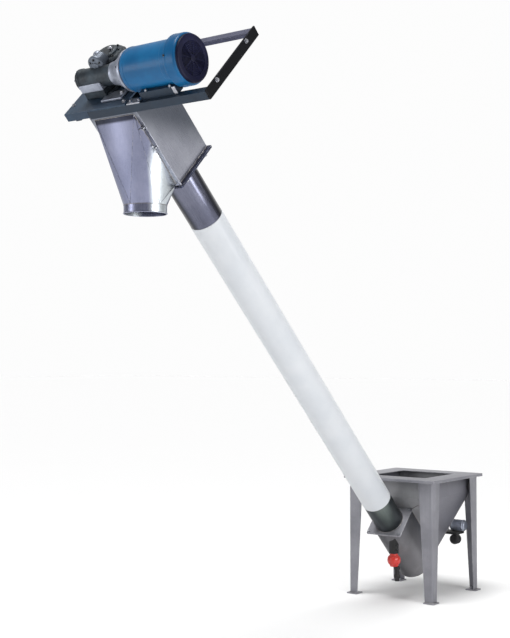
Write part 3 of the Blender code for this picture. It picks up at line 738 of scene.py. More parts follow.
class Shape(Group):
    """A geometry tree that ends in real geometry with a finish."""

    def __init__(self, name, **sizes):
        named = {key.replace("_", " ").title(): value for key, value in sizes.items()}
        super().__init__(
            name, {"Geometry": "Geometry", **named, "Finish": "Material"},
            {"Geometry": "Geometry"}, "GeometryNodeTree",
        )

    def index(self):
        return self.add("GeometryNodeInputIndex").outputs["Index"]

    def position(self):
        return self.add("GeometryNodeInputPosition").outputs["Position"]

    def moved(self, mesh, **feeds):
        node = self.add("GeometryNodeTransform", {"Geometry": mesh, **feeds})
        return node.outputs["Geometry"]

    def cylinder(self, radius, depth, start, sides):
        """A cylinder standing on local z = start."""
        feeds = {"Vertices": sides, "Radius": radius, "Depth": depth}
        body = self.add("GeometryNodeMeshCylinder", feeds).outputs["Mesh"]
        centre = self.plus(start, self.times(depth, 0.5))
        return self.moved(body, Translation=self.combine(z=centre))

    def joined(self, *parts):
        node = self.add("GeometryNodeJoinGeometry")
        for part in parts:
            self.tree.links.new(part, node.inputs["Geometry"])
        return node.outputs["Geometry"]

    def smooth(self, mesh):
        return self.add("GeometryNodeSetShadeSmooth", {"Geometry": mesh}).outputs["Geometry"]

    def circle(self, radius, resolution):
        feeds = {"Resolution": resolution, "Radius": radius}
        return self.add("GeometryNodeCurvePrimitiveCircle", feeds).outputs["Curve"]

    def swept(self, curve, radius, scale=None):
        """A smooth round bar along curves."""
        feeds = {"Curve": curve, "Profile Curve": self.circle(radius, BAR_SIDES), "Scale": scale,
                 "Fill Caps": True}
        return self.smooth(self.add("GeometryNodeCurveToMesh", feeds).outputs["Mesh"])

    def instances(self, points, shape, **feeds):
        feeds = {"Points": points, "Instance": shape, **feeds}
        return self.add("GeometryNodeInstanceOnPoints", feeds).outputs["Instances"]

    def copies(self, count, shape, **feeds):
        """Copies of a shape, all at the origin."""
        points = self.add("GeometryNodeMeshLine", {"Count": count, "Offset": ORIGIN})
        return self.instances(points.outputs["Mesh"], shape, **feeds)

    def copies_round(self, count, shape):
        """Copies of a shape, turned evenly round local z."""
        share = self.math("DIVIDE", 2 * math.pi, count)
        return self.copies(
            count, shape, Rotation=self.combine(z=self.times(self.index(), share))
        )

    def on_points(self, shape):
        """Sets a shape on every point, its z along the point's own facing."""
        facing = self.add(
            "GeometryNodeInputNamedAttribute", {"Name": "facing"}, data_type="FLOAT_VECTOR"
        ).outputs["Attribute"]
        align = self.add("FunctionNodeAlignRotationToVector", {"Vector": facing}, axis="Z")
        spread = self.instances(
            self.given["Geometry"], shape, Rotation=align.outputs["Rotation"]
        )
        spin = self.add(
            "FunctionNodeRandomValue", {"Min": 0.0, "Max": FULL_SPIN, "Seed": SPIN_SEED},
            data_type="FLOAT",
        ).outputs[1]
        feeds = {"Instances": spread, "Rotation": self.combine(z=spin)}
        return self.add("GeometryNodeRotateInstances", feeds).outputs["Instances"]

    def close(self, geometry):
        real = self.add("GeometryNodeRealizeInstances", {"Geometry": geometry})
        feeds = {"Geometry": real.outputs["Geometry"], "Material": self.given["Finish"]}
        paint = self.add("GeometryNodeSetMaterial", feeds)
        return super().close(Geometry=paint.outputs["Geometry"])


def build_bolt_tree():
    """Hex bolts or nuts with a washer and the stud's end, one per point."""
    tree = Shape(
        "hex_bolts", head_width=0.013, head_height=0.0055, washer_width=0.018,
        washer_height=0.0016, stud_height=0.002,
    )
    width, height = tree.given["Head Width"], tree.given["Head Height"]
    washer = tree.given["Washer Height"]
    base = tree.cylinder(tree.times(tree.given["Washer Width"], 0.5), washer, 0.0, 24)
    head = tree.cylinder(tree.times(width, HEX_CORNER), height, washer, 6)
    top = tree.plus(washer, height)
    crown = tree.cylinder(tree.times(width, HEX_CROWN), CROWN_HEIGHT, top, 24)
    stud = tree.cylinder(tree.times(width, HEX_STUD), tree.given["Stud Height"], top, 12)
    return tree.close(tree.on_points(tree.joined(base, head, crown, stud)))


def build_wing_tree():
    """Wing nuts: a stud, a round hub and two flat ears."""
    tree = Shape("wing_nuts", hub_width=0.014, hub_height=0.009)
    width = tree.given["Hub Width"]
    stud_share, stud_height = 0.28, 0.018
    reach, lift, lean, flatness = 0.0135, 0.013, 0.55, (0.42, 0.16, 0.72)
    hub = tree.cylinder(tree.times(width, 0.5), tree.given["Hub Height"], 0.0, 16)
    parts = [hub, tree.cylinder(tree.times(width, stud_share), stud_height, 0.0, 12)]
    for side in (-1, 1):
        ear = tree.add("GeometryNodeMeshIcoSphere", {"Subdivisions": 3, "Radius": width})
        parts.append(tree.moved(
            ear.outputs["Mesh"], Translation=(side * reach, 0, lift),
            Rotation=(0, side * lean, 0), Scale=flatness,
        ))
    return tree.close(tree.on_points(tree.smooth(tree.joined(*parts))))


def build_weld_tree():
    """A rippled weld bead that follows the edges given to it."""
    tree = Shape("weld_seam", bead_radius=0.0026, ripple=RIPPLE)
    path = tree.add("GeometryNodeMeshToCurve", {"Mesh": tree.given["Geometry"]})
    feeds = {"Curve": path.outputs["Curve"], "Length": tree.given["Ripple"]}
    even = tree.add("GeometryNodeResampleCurve", feeds, mode="LENGTH").outputs["Curve"]
    odd = tree.math("MODULO", tree.index(), 2.0)
    swell = tree.plus(tree.times(odd, BEAD_SWELL[1]), BEAD_SWELL[0])
    drift = tree.noise(tree.position(), 70.0, 2.0)
    wander = tree.plus(tree.times(drift, BEAD_WANDER[1]), BEAD_WANDER[0])
    bead = tree.swept(even, tree.given["Bead Radius"], tree.times(swell, wander))
    return tree.close(bead)


def build_flight_tree():
    """A screw flight: a flat strip wound round local z and given thickness."""
    tree = Shape(
        "screw_flight", outer_radius=0.073, inner_radius=0.024, pitch=0.15, turns=22.0,
        steps_a_turn=FLIGHT_STEPS, thickness=FLIGHT_THICK,
    )
    turns, inner = tree.given["Turns"], tree.given["Inner Radius"]
    columns = tree.plus(tree.times(turns, tree.given["Steps A Turn"]), 1.0)
    feeds = {"Size X": 1.0, "Size Y": 1.0, "Vertices X": columns, "Vertices Y": 4}
    strip = tree.add("GeometryNodeMeshGrid", feeds).outputs["Mesh"]
    flat = tree.split(tree.position())
    wound = tree.times(tree.plus(flat["X"], 0.5), turns)
    angle = tree.times(wound, 2 * math.pi)
    width = tree.math("SUBTRACT", tree.given["Outer Radius"], inner)
    radius = tree.plus(tree.times(tree.plus(flat["Y"], 0.5), width), inner)
    place = tree.combine(
        tree.times(radius, tree.math("COSINE", angle)),
        tree.times(radius, tree.math("SINE", angle)),
        tree.times(wound, tree.given["Pitch"]),
    )
    feeds = {"Geometry": strip, "Position": place}
    skin = tree.add("GeometryNodeSetPosition", feeds).outputs["Geometry"]
    feeds = {"Mesh": skin, "Offset Scale": tree.given["Thickness"], "Individual": False}
    thick = tree.add("GeometryNodeExtrudeMesh", feeds, mode="FACES").outputs["Mesh"]
    under = tree.add("GeometryNodeFlipFaces", {"Mesh": skin}).outputs["Mesh"]
    feeds = {"Geometry": tree.joined(thick, under), "Distance": FLIGHT_MERGE}
    return tree.close(tree.add("GeometryNodeMergeByDistance", feeds).outputs["Geometry"])


def build_grille_tree():
    """A fan guard of round rings and spokes, flat in local x-y."""
    tree = Shape(
        "fan_grille", first_radius=0.022, ring_step=0.009, rings=9, spokes=8,
        outer_radius=0.1, bar_radius=0.0014,
    )
    first = tree.given["First Radius"]
    size = tree.plus(tree.times(tree.index(), tree.given["Ring Step"]), first)
    rings = tree.copies(tree.given["Rings"], tree.circle(1.0, 56), Scale=size)
    feeds = {"Start": tree.combine(x=first), "End": tree.combine(x=tree.given["Outer Radius"])}
    spoke = tree.add("GeometryNodeCurvePrimitiveLine", feeds).outputs["Curve"]
    spokes = tree.copies_round(tree.given["Spokes"], spoke)
    lines = tree.add("GeometryNodeRealizeInstances", {"Geometry": tree.joined(rings, spokes)})
    return tree.close(tree.swept(lines.outputs["Geometry"], tree.given["Bar Radius"]))


def build_rib_tree():
    """Ribs set round local z, each a thin block pointing outwards."""
    tree = Shape(
        "cooling_ribs", ribs=24, ring_radius=0.08, rib_size=(0.012, 0.004, 0.05), height=0.0
    )
    block = tree.add("GeometryNodeMeshCube", {"Size": tree.given["Rib Size"]}).outputs["Mesh"]
    place = tree.combine(x=tree.given["Ring Radius"], z=tree.given["Height"])
    rib = tree.moved(block, Translation=place)
    return tree.close(tree.copies_round(tree.given["Ribs"], rib))


BOLT_TREE = build_bolt_tree()
WING_TREE = build_wing_tree()
WELD_TREE = build_weld_tree()
FLIGHT_TREE = build_flight_tree()
GRILLE_TREE = build_grille_tree()
RIB_TREE = build_rib_tree()


def grow(name, tree, material, place, slot, *replaced, seed=None, smooth_angle=None, **values):
    """Runs a tree on a seed mesh and shows the plain mesh that it makes."""
    seed = seed or bpy.data.meshes.new(name + "_seed")
    guide = bpy.data.objects.new(name + "_seed", seed)
    bpy.context.scene.collection.objects.link(guide)
    modifier = guide.modifiers.new("grow", "NODES")
    modifier.node_group = tree
    values["finish"] = material
    for socket in tree.interface.items_tree:
        key = socket.name.replace(" ", "_").lower()
        if socket.in_out == "INPUT" and key in values:
            modifier[socket.identifier] = values[key]
    state = bpy.context.evaluated_depsgraph_get()
    mesh = bpy.data.meshes.new_from_object(guide.evaluated_get(state))
    bpy.data.objects.remove(guide, do_unlink=True)
    if smooth_angle:
        mesh.shade_smooth()
        mesh.set_sharp_from_angle(angle=math.radians(smooth_angle))
    show(name, mesh, material, place, slot, *replaced)


def points_mesh(points, facing):
    """Loose points that carry the direction their fasteners face."""
    mesh = bpy.data.meshes.new("fastener_points")
    mesh.from_pydata(points, [], [])
    attribute = mesh.attributes.new("facing", "FLOAT_VECTOR", "POINT")
    attribute.data.foreach_set("vector", [c for _ in points for c in facing])
    return mesh


def bolts(name, points, facing, place, slot, head=0.013, stud=0.002, material=BOLT_STEEL):
    """Hex fasteners on points of one face, sized by the head's width."""
    grow(
        name, BOLT_TREE, material, place, slot, seed=points_mesh(points, facing),
        head_width=head, head_height=head * HEX_HEIGHT, washer_width=head * HEX_WASHER,
        washer_height=head * HEX_WASHER_THICK, stud_height=stud,
    )


def weld(name, paths, place, slot, radius=SEAM_BEAD, material=WELD):
    """Weld beads along open paths of points."""
    mesh = bpy.data.meshes.new("weld_paths")
    points = []
    edges = []
    for path in paths:
        start = len(points)
        points += [tuple(point) for point in path]
        edges += [(i, i + 1) for i in range(start, len(points) - 1)]
    mesh.from_pydata(points, edges, [])
    grow(name, WELD_TREE, material, place, slot, seed=mesh, bead_radius=radius, ripple=RIPPLE)


# Outlines that several pieces share


def rounded_rectangle(low, high, corner, steps=4):
    """Points round a rectangle in x-y, with rounded corners."""
    centres = (
        (high[0] - corner, high[1] - corner), (low[0] + corner, high[1] - corner),
        (low[0] + corner, low[1] + corner), (high[0] - corner, low[1] + corner),
    )
    ring = []
    for k, (x, y) in enumerate(centres):
        for i in range(steps + 1):
            angle = (k + i / steps) * QUARTER
            ring.append((x + corner * math.cos(angle), y + corner * math.sin(angle)))
    return ring


def at_height(ring, height):
    return [(x, y, height) for x, y in ring]


def split_long_sides(ring, longest=0.012):
    """Adds points on the long sides of a closed ring."""
    result = []
    for start, end in zip(ring, ring[1:] + ring[:1]):
        start, end = Vector(start), Vector(end)
        pieces = max(1, math.ceil((end - start).length / longest))
        result += [tuple(start.lerp(end, i / pieces)) for i in range(pieces)]
    return result


def bored_plate(low, high, corner, bore, start, end):
    """A plate with rounded corners and a round bore about the origin."""
    ring = split_long_sides(rounded_rectangle(low, high, corner))
    hole = [(bore * x / math.hypot(x, y), bore * y / math.hypot(x, y)) for x, y in ring]
    rings = [at_height(ring, start), at_height(ring, end), at_height(hole, end),
             at_height(hole, start)]
    return loft(rings, closed_along=True)


def loop_path(points):
    return list(points) + [points[0]]


# Pieces of the stand and hopper


def leg_ring(width, height):
    """An angle section with a rounded bend, its legs along -x and -y."""
    outer = rounded([(-width, 0), (0, 0), (0, -width)], 0.009, 5)
    inner = [(-LEG_THICK, -width), (-LEG_THICK, -LEG_THICK), (-width, -LEG_THICK)]
    return at_height(outer + rounded(inner, 0.005, 5), height)


def build_legs():
    slot = "stand_grey"
    outer = FOOT_OVERHANG
    inner = FOOT_OVERHANG - FOOT_SIDE
    inside = -LEG_FOOT_WIDTH * 0.55
    run = LEG_FOOT_WIDTH - 0.004
    seat = FOOT_THICK + 0.0005
    bead = [(-run, 0.0008, seat), (-0.004, 0.0008, seat), (0.0004, 0.0004, seat),
            (0.0008, -0.004, seat), (0.0008, -run, seat)]
    corners = (("back_right", 1, 1), ("back_left", -1, 1), ("front_left", -1, -1),
               ("front_right", 1, -1))
    for turn, (corner, side, end) in enumerate(corners):
        place = placed(STAND, (side * STAND_HALF, end * STAND_HALF, 0), turn * QUARTER)
        foot_end = leg_ring(LEG_FOOT_WIDTH, FOOT_THICK)
        leg = loft([foot_end, leg_ring(LEG_TOP_WIDTH, RIM_UNDERSIDE - FIT)], capped=True)
        show(
            "leg_angle_" + corner, leg, STAND_STEEL, place, slot, "leg_" + corner, bevel=0.0008
        )
        outline = rounded_rectangle((inner, inner), (outer, outer), 0.006)
        foot = extruded(outline, 0.0, FOOT_THICK)
        show("foot_" + corner, foot, STAND_STEEL, place, slot, bevel=0.001)
        hole = [(inside, inside, FOOT_THICK)]
        bolts("anchor_bolt_" + corner, hole, UP, place, slot, 0.012, 0.006)
        weld("foot_weld_" + corner, [bead], place, slot)


def build_rim():
    half = RIM_HALF
    opening = RIM_OPENING / 2
    low = RIM_LOW.z
    under = RIM_UNDERSIDE
    section = [
        (half, 0.011, low), (half, 0.011, RIM_TOP - 0.0042),
        (half - 0.0004, 0.0106, RIM_TOP - 0.0024), (half - 0.0016, 0.0096, RIM_TOP - 0.0008),
        (half - 0.0036, 0.009, RIM_TOP), (opening + 0.0006, 0.0066, RIM_TOP),
        (opening, 0.006, RIM_TOP - 0.0006), (opening, 0.006, under + 0.0004),
        (opening + 0.0004, 0.0064, under), (half - RIM_THICK, 0.007, under),
        (half - RIM_THICK, 0.007, low),
    ]
    rings = [
        at_height(rounded_rectangle((-size, -size), (size, size), corner, 6), height)
        for size, corner, height in section
    ]
    rim = loft(rings, closed_along=True)
    show("rim_angle", rim, STAND_STEEL, STAND, "stand_grey", "hopper_rim")
    mitres = [
        [(sx * reach, sy * reach, RIM_TOP - 0.0004) for reach in (opening + 0.004, half - 0.006)]
        for sx in (-1, 1) for sy in (-1, 1)
    ]
    weld("rim_mitre_welds", mitres, STAND, "stand_grey", 0.0011)


def build_hopper():
    for side in ("front", "back", "left", "right"):
        dress("hopper_wall_" + side, HOPPER_STEEL, 0.0008)
    half = HOPPER_HALF - 0.0004
    seams = []
    for side in (-1, 1):
        for end in (-1, 1):
            throat = TROUGH_TAIL if end > 0 else TROUGH_END
            seams.append([
                (side * half, end * half, RIM_LOW.z),
                (side * half, end * half, HOPPER_BEND_HEIGHT),
                to_stand(side * (TROUGH_RADIUS - 0.0004), TROUGH_RADIUS + 0.0005, throat),
            ])
    weld("hopper_corner_welds", seams, STAND, "stand_grey", 0.0021)


def channel_line(radius, steps=30):
    """A U in x-y: a round bottom and upright sides, from +x to -x."""
    angles = [math.pi * i / steps for i in range(steps + 1)]
    round_part = [(radius * math.cos(a), -radius * math.sin(a)) for a in angles]
    return [(radius, TROUGH_RADIUS)] + round_part + [(-radius, TROUGH_RADIUS)]


def build_trough():
    slot = "stand_grey"
    outline = channel_line(TROUGH_RADIUS)
    bent = outline + channel_line(TROUGH_RADIUS - SHEET)[::-1]
    sheet = extruded(bent, TROUGH_TAIL, TROUGH_END)
    show("trough_sheet", sheet, TROUGH_STEEL, LINE, slot, "charging_trough", bevel=0.0006)
    tail = TROUGH_TAIL - FIT
    plate = extruded(outline, tail - SHEET, tail)
    show("trough_tail", plate, TROUGH_STEEL, LINE, slot, "trough_tail_plate", bevel=0.0006)
    beads = [
        [(side * (TROUGH_RADIUS + 0.0004), TROUGH_RADIUS, z)
         for z in (TROUGH_TAIL + 0.004, TROUGH_END - 0.004)]
        for side in (-1, 1)
    ]
    beads += [at_height(outline, tail), at_height(outline, TROUGH_END)]
    weld("trough_welds", beads, LINE, slot)


def build_inlet():
    slot = "stand_grey"
    start = TROUGH_END + FIT
    end = start + INLET_FLANGE_THICK
    half = TROUGH_RADIUS + 0.012
    flange = bored_plate(
        (-half, -TROUGH_RADIUS), (half, TROUGH_RADIUS), 0.008, SLEEVE_RADIUS - SLEEVE_WALL,
        start, end,
    )
    show("inlet_plate", flange, STAND_STEEL, LINE, slot, "inlet_flange", bevel=0.001)
    sleeve = pipe(SLEEVE_RADIUS, SLEEVE_WALL, end + FIT, TUBE_START - FIT)
    show("inlet_tube", sleeve, SLEEVE_STEEL, LINE, "sleeve_steel", "inlet_sleeve")
    spread = [(x, y, end) for x in (-0.099, 0.099) for y in (-0.086, 0.086)]
    bolts("inlet_plate_bolts", spread, UP, LINE, slot, 0.012)
    nuts = [(x, -0.086, start) for x in (-0.099, 0.099)]
    bolts("inlet_plate_nuts", nuts, DOWN, LINE, slot, 0.012, 0.004)
    ring = loop_path(circle_points(SLEEVE_RADIUS + 0.0005, SEAM_POINTS, end + 0.0006))
    weld("inlet_tube_weld", [ring], LINE, "sleeve_steel")


# Pieces of the tube and screw


def build_tube():
    tube = pipe(TUBE_RADIUS, TUBE_WALL, TUBE_START, TUBE_END, 128, 0.0018)
    show("tube_pipe", tube, TUBE_PAINT, LINE, "tube_white", "conveyor_tube")
    sleeve_end = HEAD_START - END_PLATE_THICK - 2 * FIT
    sleeve = pipe(SLEEVE_RADIUS, SLEEVE_WALL, TUBE_END + FIT, sleeve_end, 128)
    show("outlet_tube", sleeve, TUBE_STEEL, LINE, "stainless_sheet", "discharge_sleeve")
    ring = loop_path(circle_points(SLEEVE_RADIUS + 0.0005, SEAM_POINTS, sleeve_end - 0.0006))
    weld("outlet_tube_weld", [ring], LINE, "stainless_sheet")


def build_screw():
    slot = "auger_steel"
    radius = AUGER_SHAFT_RADIUS
    grow(
        "flight_strip", FLIGHT_TREE, AUGER_STEEL, placed(LINE, (0, 0, AUGER_START - 0.002)),
        slot, "auger_flight", smooth_angle=40.0, outer_radius=AUGER_RADIUS,
        inner_radius=radius, pitch=AUGER_PITCH, turns=AUGER_TURNS, steps_a_turn=FLIGHT_STEPS,
        thickness=FLIGHT_THICK,
    )
    line = [(radius, SHAFT_START), (radius, PLATE_LEVEL)]
    show_turned("shaft_bar", line, (0.003, 4), 40, AUGER_STEEL, LINE, slot, "auger_shaft")


# Pieces of the discharge head


def build_housing():
    slot = "stainless_sheet"
    dress("housing_shell", HEAD_STEEL, 0.0022, 3)
    end_start = HEAD_START - END_PLATE_THICK - FIT
    # The end plate takes the darker copy of the head steel as painted shade
    end_plate = bored_plate(
        (-HEAD_HALF_WIDTH - 0.022, HEAD_FRONT - 0.010),
        (HEAD_HALF_WIDTH + 0.022, HEAD_BACK + 0.008), 0.006, SLEEVE_RADIUS - SLEEVE_WALL,
        end_start, HEAD_START - FIT,
    )
    show("end_plate", end_plate, END_PLATE_SHADE_STEEL, LINE, slot, "housing_end_plate", bevel=0.001)
    top_start = HEAD_TOP + FIT
    top = bored_plate(
        (-HEAD_HALF_WIDTH - 0.044, HEAD_FRONT - 0.012),
        (HEAD_HALF_WIDTH + 0.044, HEAD_BACK + 0.012), 0.006, AUGER_SHAFT_RADIUS + 0.001,
        top_start, top_start + TOP_PLATE_THICK,
    )
    show("top_flange", top, HEAD_STEEL, LINE, slot, "housing_top_plate", bevel=0.001)
    wide = HEAD_HALF_WIDTH + 0.011
    spread = [(side * wide, y, end_start) for side in (-1, 1) for y in (-0.10, -0.01, 0.08)]
    bolts("end_plate_bolts", spread, DOWN, LINE, slot)
    wide = HEAD_HALF_WIDTH + 0.026
    spread = [(side * wide, y, top_start) for side in (-1, 1) for y in (-0.12, -0.04, 0.04, 0.12)]
    bolts("top_flange_bolts", spread, DOWN, LINE, slot, stud=0.004)
    ring = rounded_rectangle(
        (-HEAD_HALF_WIDTH, HEAD_FRONT), (HEAD_HALF_WIDTH, HEAD_BACK), 0.003, 2
    )
    beads = [loop_path(at_height(ring, z)) for z in (HEAD_TOP - 0.0006, HEAD_START + 0.0006)]
    weld("housing_welds", beads, LINE, slot, 0.0019)


def outlet_point(angle, radius):
    """A point of the chute's round outlet, in the stand's axes."""
    return Vector((
        radius * math.cos(angle), SPOUT_CENTRE_Y + radius * math.sin(angle), SPOUT_TOP + FIT
    ))


SIDE_LIMIT = 0.9
HALVINGS = 40


def touching_angle(start, end, radius):
    """Where a flat side through an edge just touches the outlet circle.

    The answer lies within SIDE_LIMIT of +x and is closed in on by halving.
    """
    edge = end - start

    def side(angle):
        tangent = Vector((-math.sin(angle), math.cos(angle), 0))
        return (outlet_point(angle, radius) - start).dot(edge.cross(tangent))

    low, high = -SIDE_LIMIT, SIDE_LIMIT
    for _ in range(HALVINGS):
        middle = (low + high) / 2
        if side(low) * side(middle) <= 0:
            high = middle
        else:
            low = middle
    return (low + high) / 2


def chute_outline(inset):
    """The mouth's corners, the outlet's radius and where the +x side meets it."""
    face = HEAD_FRONT - 2 * FIT - CHUTE_FLANGE_THICK
    wide = HEAD_HALF_WIDTH - inset
    low, high = CHUTE_START + inset, CHUTE_END - inset
    radius = SPOUT_RADIUS - inset
    corners = ((wide, high), (-wide, high), (-wide, low), (wide, low))
    mouth = [to_stand(x, face, z) for x, z in corners]
    return mouth, radius, touching_angle(mouth[3], mouth[0], radius)


def chute_skin(shape, inset):
    """One skin of the chute: four flat sides and four coned corners."""
    mouth, radius, right = chute_outline(inset)
    corners = [shape.verts.new(point) for point in mouth]
    stops = (right, -QUARTER, -math.pi - right, -3 * QUARTER, right - 2 * math.pi)
    ring = [
        shape.verts.new(outlet_point(start + (end - start) * i / CHUTE_STEPS, radius))
        for start, end in zip(stops, stops[1:]) for i in range(CHUTE_STEPS)
    ]
    for k, corner in enumerate(corners):
        arc = [ring[(k * CHUTE_STEPS + i) % len(ring)] for i in range(CHUTE_STEPS + 1)]
        for here, ahead in zip(arc, arc[1:]):
            shape.faces.new((corner, here, ahead))
        shape.faces.new((corner, arc[-1], corners[(k + 1) % 4]))
    return corners, ring


def build_chute():
    """The square-to-round chute, its spout ring and its mouth flange."""
    slot = "stainless_sheet"
    shape = bmesh.new()
    for outer, inner in zip(chute_skin(shape, 0.0), chute_skin(shape, SHEET)):
        for i in range(len(outer)):
            j = (i + 1) % len(outer)
            shape.faces.new((outer[i], outer[j], inner[j], inner[i]))
    sheet = finish_mesh(shape, CHUTE_FOLD_ANGLE)
    show("chute_sheet", sheet, CHUTE_STEEL, STAND, slot, "discharge_chute")
    # Thin beads of the darker steel along the folds, as painted shade on the fold lines
    mouth, radius, right = chute_outline(0.0)
    front, left = -QUARTER, math.pi - right
    folds = [(0, front), (1, front), (1, left), (2, left), (3, right), (0, right)]
    lines = [[mouth[k], outlet_point(angle, radius)] for k, angle in folds]
    weld("chute_folds", lines, STAND, slot, 0.0009, END_PLATE_SHADE_STEEL)
    lip = 0.0028
    profile = [(radius - SHEET, SPOUT_TOP), (radius - SHEET, SPOUT_BOTTOM + 0.001)]
    profile += [
        (radius - 0.0002 + lip * math.cos(a), SPOUT_BOTTOM + lip + lip * math.sin(a))
        for a in (math.radians(-110 + 200 * i / 10) for i in range(11))
    ]
    profile.append((radius, SPOUT_TOP))
    at_spout = placed(STAND, (0, SPOUT_CENTRE_Y, 0))
    collar = turned(profile, closed=True)
    show("spout_collar", collar, CHUTE_STEEL, at_spout, slot, "spout_ring")
    bead = loop_path(circle_points(radius + 0.0003, SEAM_POINTS, SPOUT_TOP + 0.0002))
    weld("spout_weld", [bead], at_spout, slot, 0.0016)
    dress("chute_flange", HEAD_STEEL, 0.0012)
    face = HEAD_FRONT - FIT - CHUTE_FLANGE_THICK
    points = points_mesh([(0.1275, face, z) for z in (3.216, 3.322)], (0, -1, 0))
    grow(
        "chute_wing_nuts", WING_TREE, BOLT_STEEL, LINE, slot, seed=points, hub_width=0.012,
        hub_height=0.008,
    )
    ring = rounded_rectangle(
        (-HEAD_HALF_WIDTH, CHUTE_START), (HEAD_HALF_WIDTH, CHUTE_END), 0.002, 2
    )
    bead = loop_path([(x, face - 0.0006, z) for x, z in ring])
    weld("chute_mouth_weld", [bead], LINE, slot, 0.0018)


# Pieces of the drive frame


def build_frame():
    slot = "frame_slate"
    for node, material, bevel, segments in (
        ("frame_rail_front", FRAME_PAINT, 0.0016, 3),
        ("motor_rail_inner", FRAME_PAINT, 0.0016, 3),
        # The back rail takes the lighter copy of the slate paint as painted light
        ("frame_rail_back", BACK_RAIL_LIT_PAINT, 0.0016, 3),
        ("frame_cross_left", FRAME_PAINT, 0.0014, 2),
        ("frame_cross_right", FRAME_PAINT, 0.0014, 2),
        ("motor_cradle_front", FRAME_PAINT, 0.0014, 2),
        ("motor_cradle_back", FRAME_PAINT, 0.0014, 2),
        ("frame_end_bar", END_BAR_PAINT, 0.0016, 3),
        ("drive_plate", PLATE_PAINT, 0.0014, 2),
    ):
        dress(node, material, bevel, segments)
    ends = [(FRAME_END, y, -0.0125) for y in (-0.141, 0.130)]
    bolts("end_bar_bolts", ends, (1, 0, 0), DRIVE, slot, 0.014)
    corners = [(PLATE_LEFT + 0.020, y, 0) for y in (-0.165, -0.060, 0.080, 0.200)]
    corners += [(PLATE_RIGHT - 0.018, y, 0) for y in (-0.203, 0.050, 0.203)]
    bolts("plate_bolts", corners, UP, DRIVE, "plate_slate", stud=0.003)
    run = FRAME_HALF_DEPTH - 0.003
    joint = FRAME_END - END_BAR_THICK
    beads = [[(joint, side * run, -0.010), (joint, side * run, -0.044)] for side in (-1, 1)]
    weld("end_bar_welds", beads, DRIVE, slot)
    for side, name in ((-1, "front"), (1, "back")):
        edge = WORM_BACK + side * 0.098
        strap = [(x, edge - side * 0.010, 0.028) for x in (0.290, 0.420)]
        bolts("cradle_bolts_" + name, strap, UP, DRIVE, slot, 0.011)
    # A bright plated strap on the front rail, as painted light where the lit top flange shows
    # through beside the plate
    show_block(
        "rail_clamp", (0.176, -0.2245, -0.0077), (0.250, -0.186, -0.0017), BOLT_STEEL, slot,
        bevel=0.0012,
    )
    holes = [(x, -0.206, -0.0017) for x in (0.190, 0.236)]
    bolts("rail_clamp_bolts", holes, UP, DRIVE, slot, 0.010, 0.001)
    # A bright steel strip at the front cradle's end, as painted light for that lit end
    show_block(
        "cradle_clip", (0.434, -0.2085, -0.004), (0.452, -0.2062, 0.030), BOLT_STEEL, slot,
        bevel=0.0006,
    )


def build_reducer():
    dark, light = "cast_dark", "cast_light"
    radius = DRUM_RADIUS
    rib = radius + 0.008
    drum = [(radius, 0.0200), (radius, 0.0755)]
    for low in (0.0775, 0.0975):
        drum += [(rib, low), (rib, low + 0.009), (radius, low + 0.011), (radius, low + 0.018)]
    drum += [(radius, 0.116), (0.070, 0.124), (0.056, 0.125), (0.056, 0.134), (0.046, 0.140)]
    show_turned(
        "reducer_drum", drum, (0.0018, 3), ROUND, CAST_DARK, DRIVE, dark, "gear_case"
    )
    radius = BARREL_RADIUS
    barrel = [(radius, BARREL_LEFT), (radius + 0.003, BARREL_LEFT + 0.001),
              (radius + 0.003, BARREL_LEFT + 0.011), (radius, BARREL_LEFT + 0.013),
              (radius, BARREL_RIGHT - 0.012), (radius + 0.004, BARREL_RIGHT - 0.010),
              (radius + 0.004, BARREL_RIGHT)]
    show_turned("reducer_barrel", barrel, (0.0016, 3), 72, CAST_DARK, WORM, dark)
    show_block(
        "reducer_web", (-0.060, WORM_BACK, 0.050), (0.050, -0.020, 0.110), CAST_DARK, dark,
        bevel=0.006, segments=4,
    )
    grow(
        "reducer_ribs", RIB_TREE, CAST_DARK, DRIVE, dark, ribs=26, ring_radius=0.0805,
        rib_size=(0.0095, 0.0034, 0.052), height=0.048,
    )
    cover = circle_points(0.063, 8, 0.1245, 0.3)
    bolts("reducer_cover_bolts", cover, UP, DRIVE, dark, 0.009, material=DARK_BOLT)
    build_base()
    feet = [(-0.092, 0.086, 0.0197), (0.036, 0.086, 0.0197), (0.114, -0.152, 0.012)]
    bolts("reducer_foot_bolts", feet, UP, DRIVE, light, 0.014, 0.004)
    start = BARREL_LEFT - FIT
    cap = [(0.047, start), (0.047, start - 0.006), (0.039, start - 0.009),
           (0.018, start - 0.010), (0.016, start - 0.012)]
    show_turned("barrel_cap", cap, (0.0012, 3), 72, CAST_DARK, WORM, dark, "worm_end_cap")
    ring = circle_points(0.040, 6, start - 0.0085)
    bolts("barrel_cap_bolts", ring, DOWN, WORM, dark, 0.008, 0.0)
    bell = MOTOR_START - FIT
    adapter = [(0.050, BARREL_RIGHT + FIT), (0.050, 0.115), (0.058, 0.135),
               (0.076, bell - 0.026), (0.079, bell - 0.014), (0.088, bell - 0.013),
               (0.088, bell)]
    show_turned(
        "adapter_bell", adapter, (0.003, 4), ROUND, CAST_LIGHT, WORM, light, "input_adapter"
    )
    ring = circle_points(0.0835, 4, bell - 0.013, math.pi / 4)
    bolts("adapter_bolts", ring, DOWN, WORM, light, 0.008, material=DARK_BOLT)
    build_reducer_plugs()


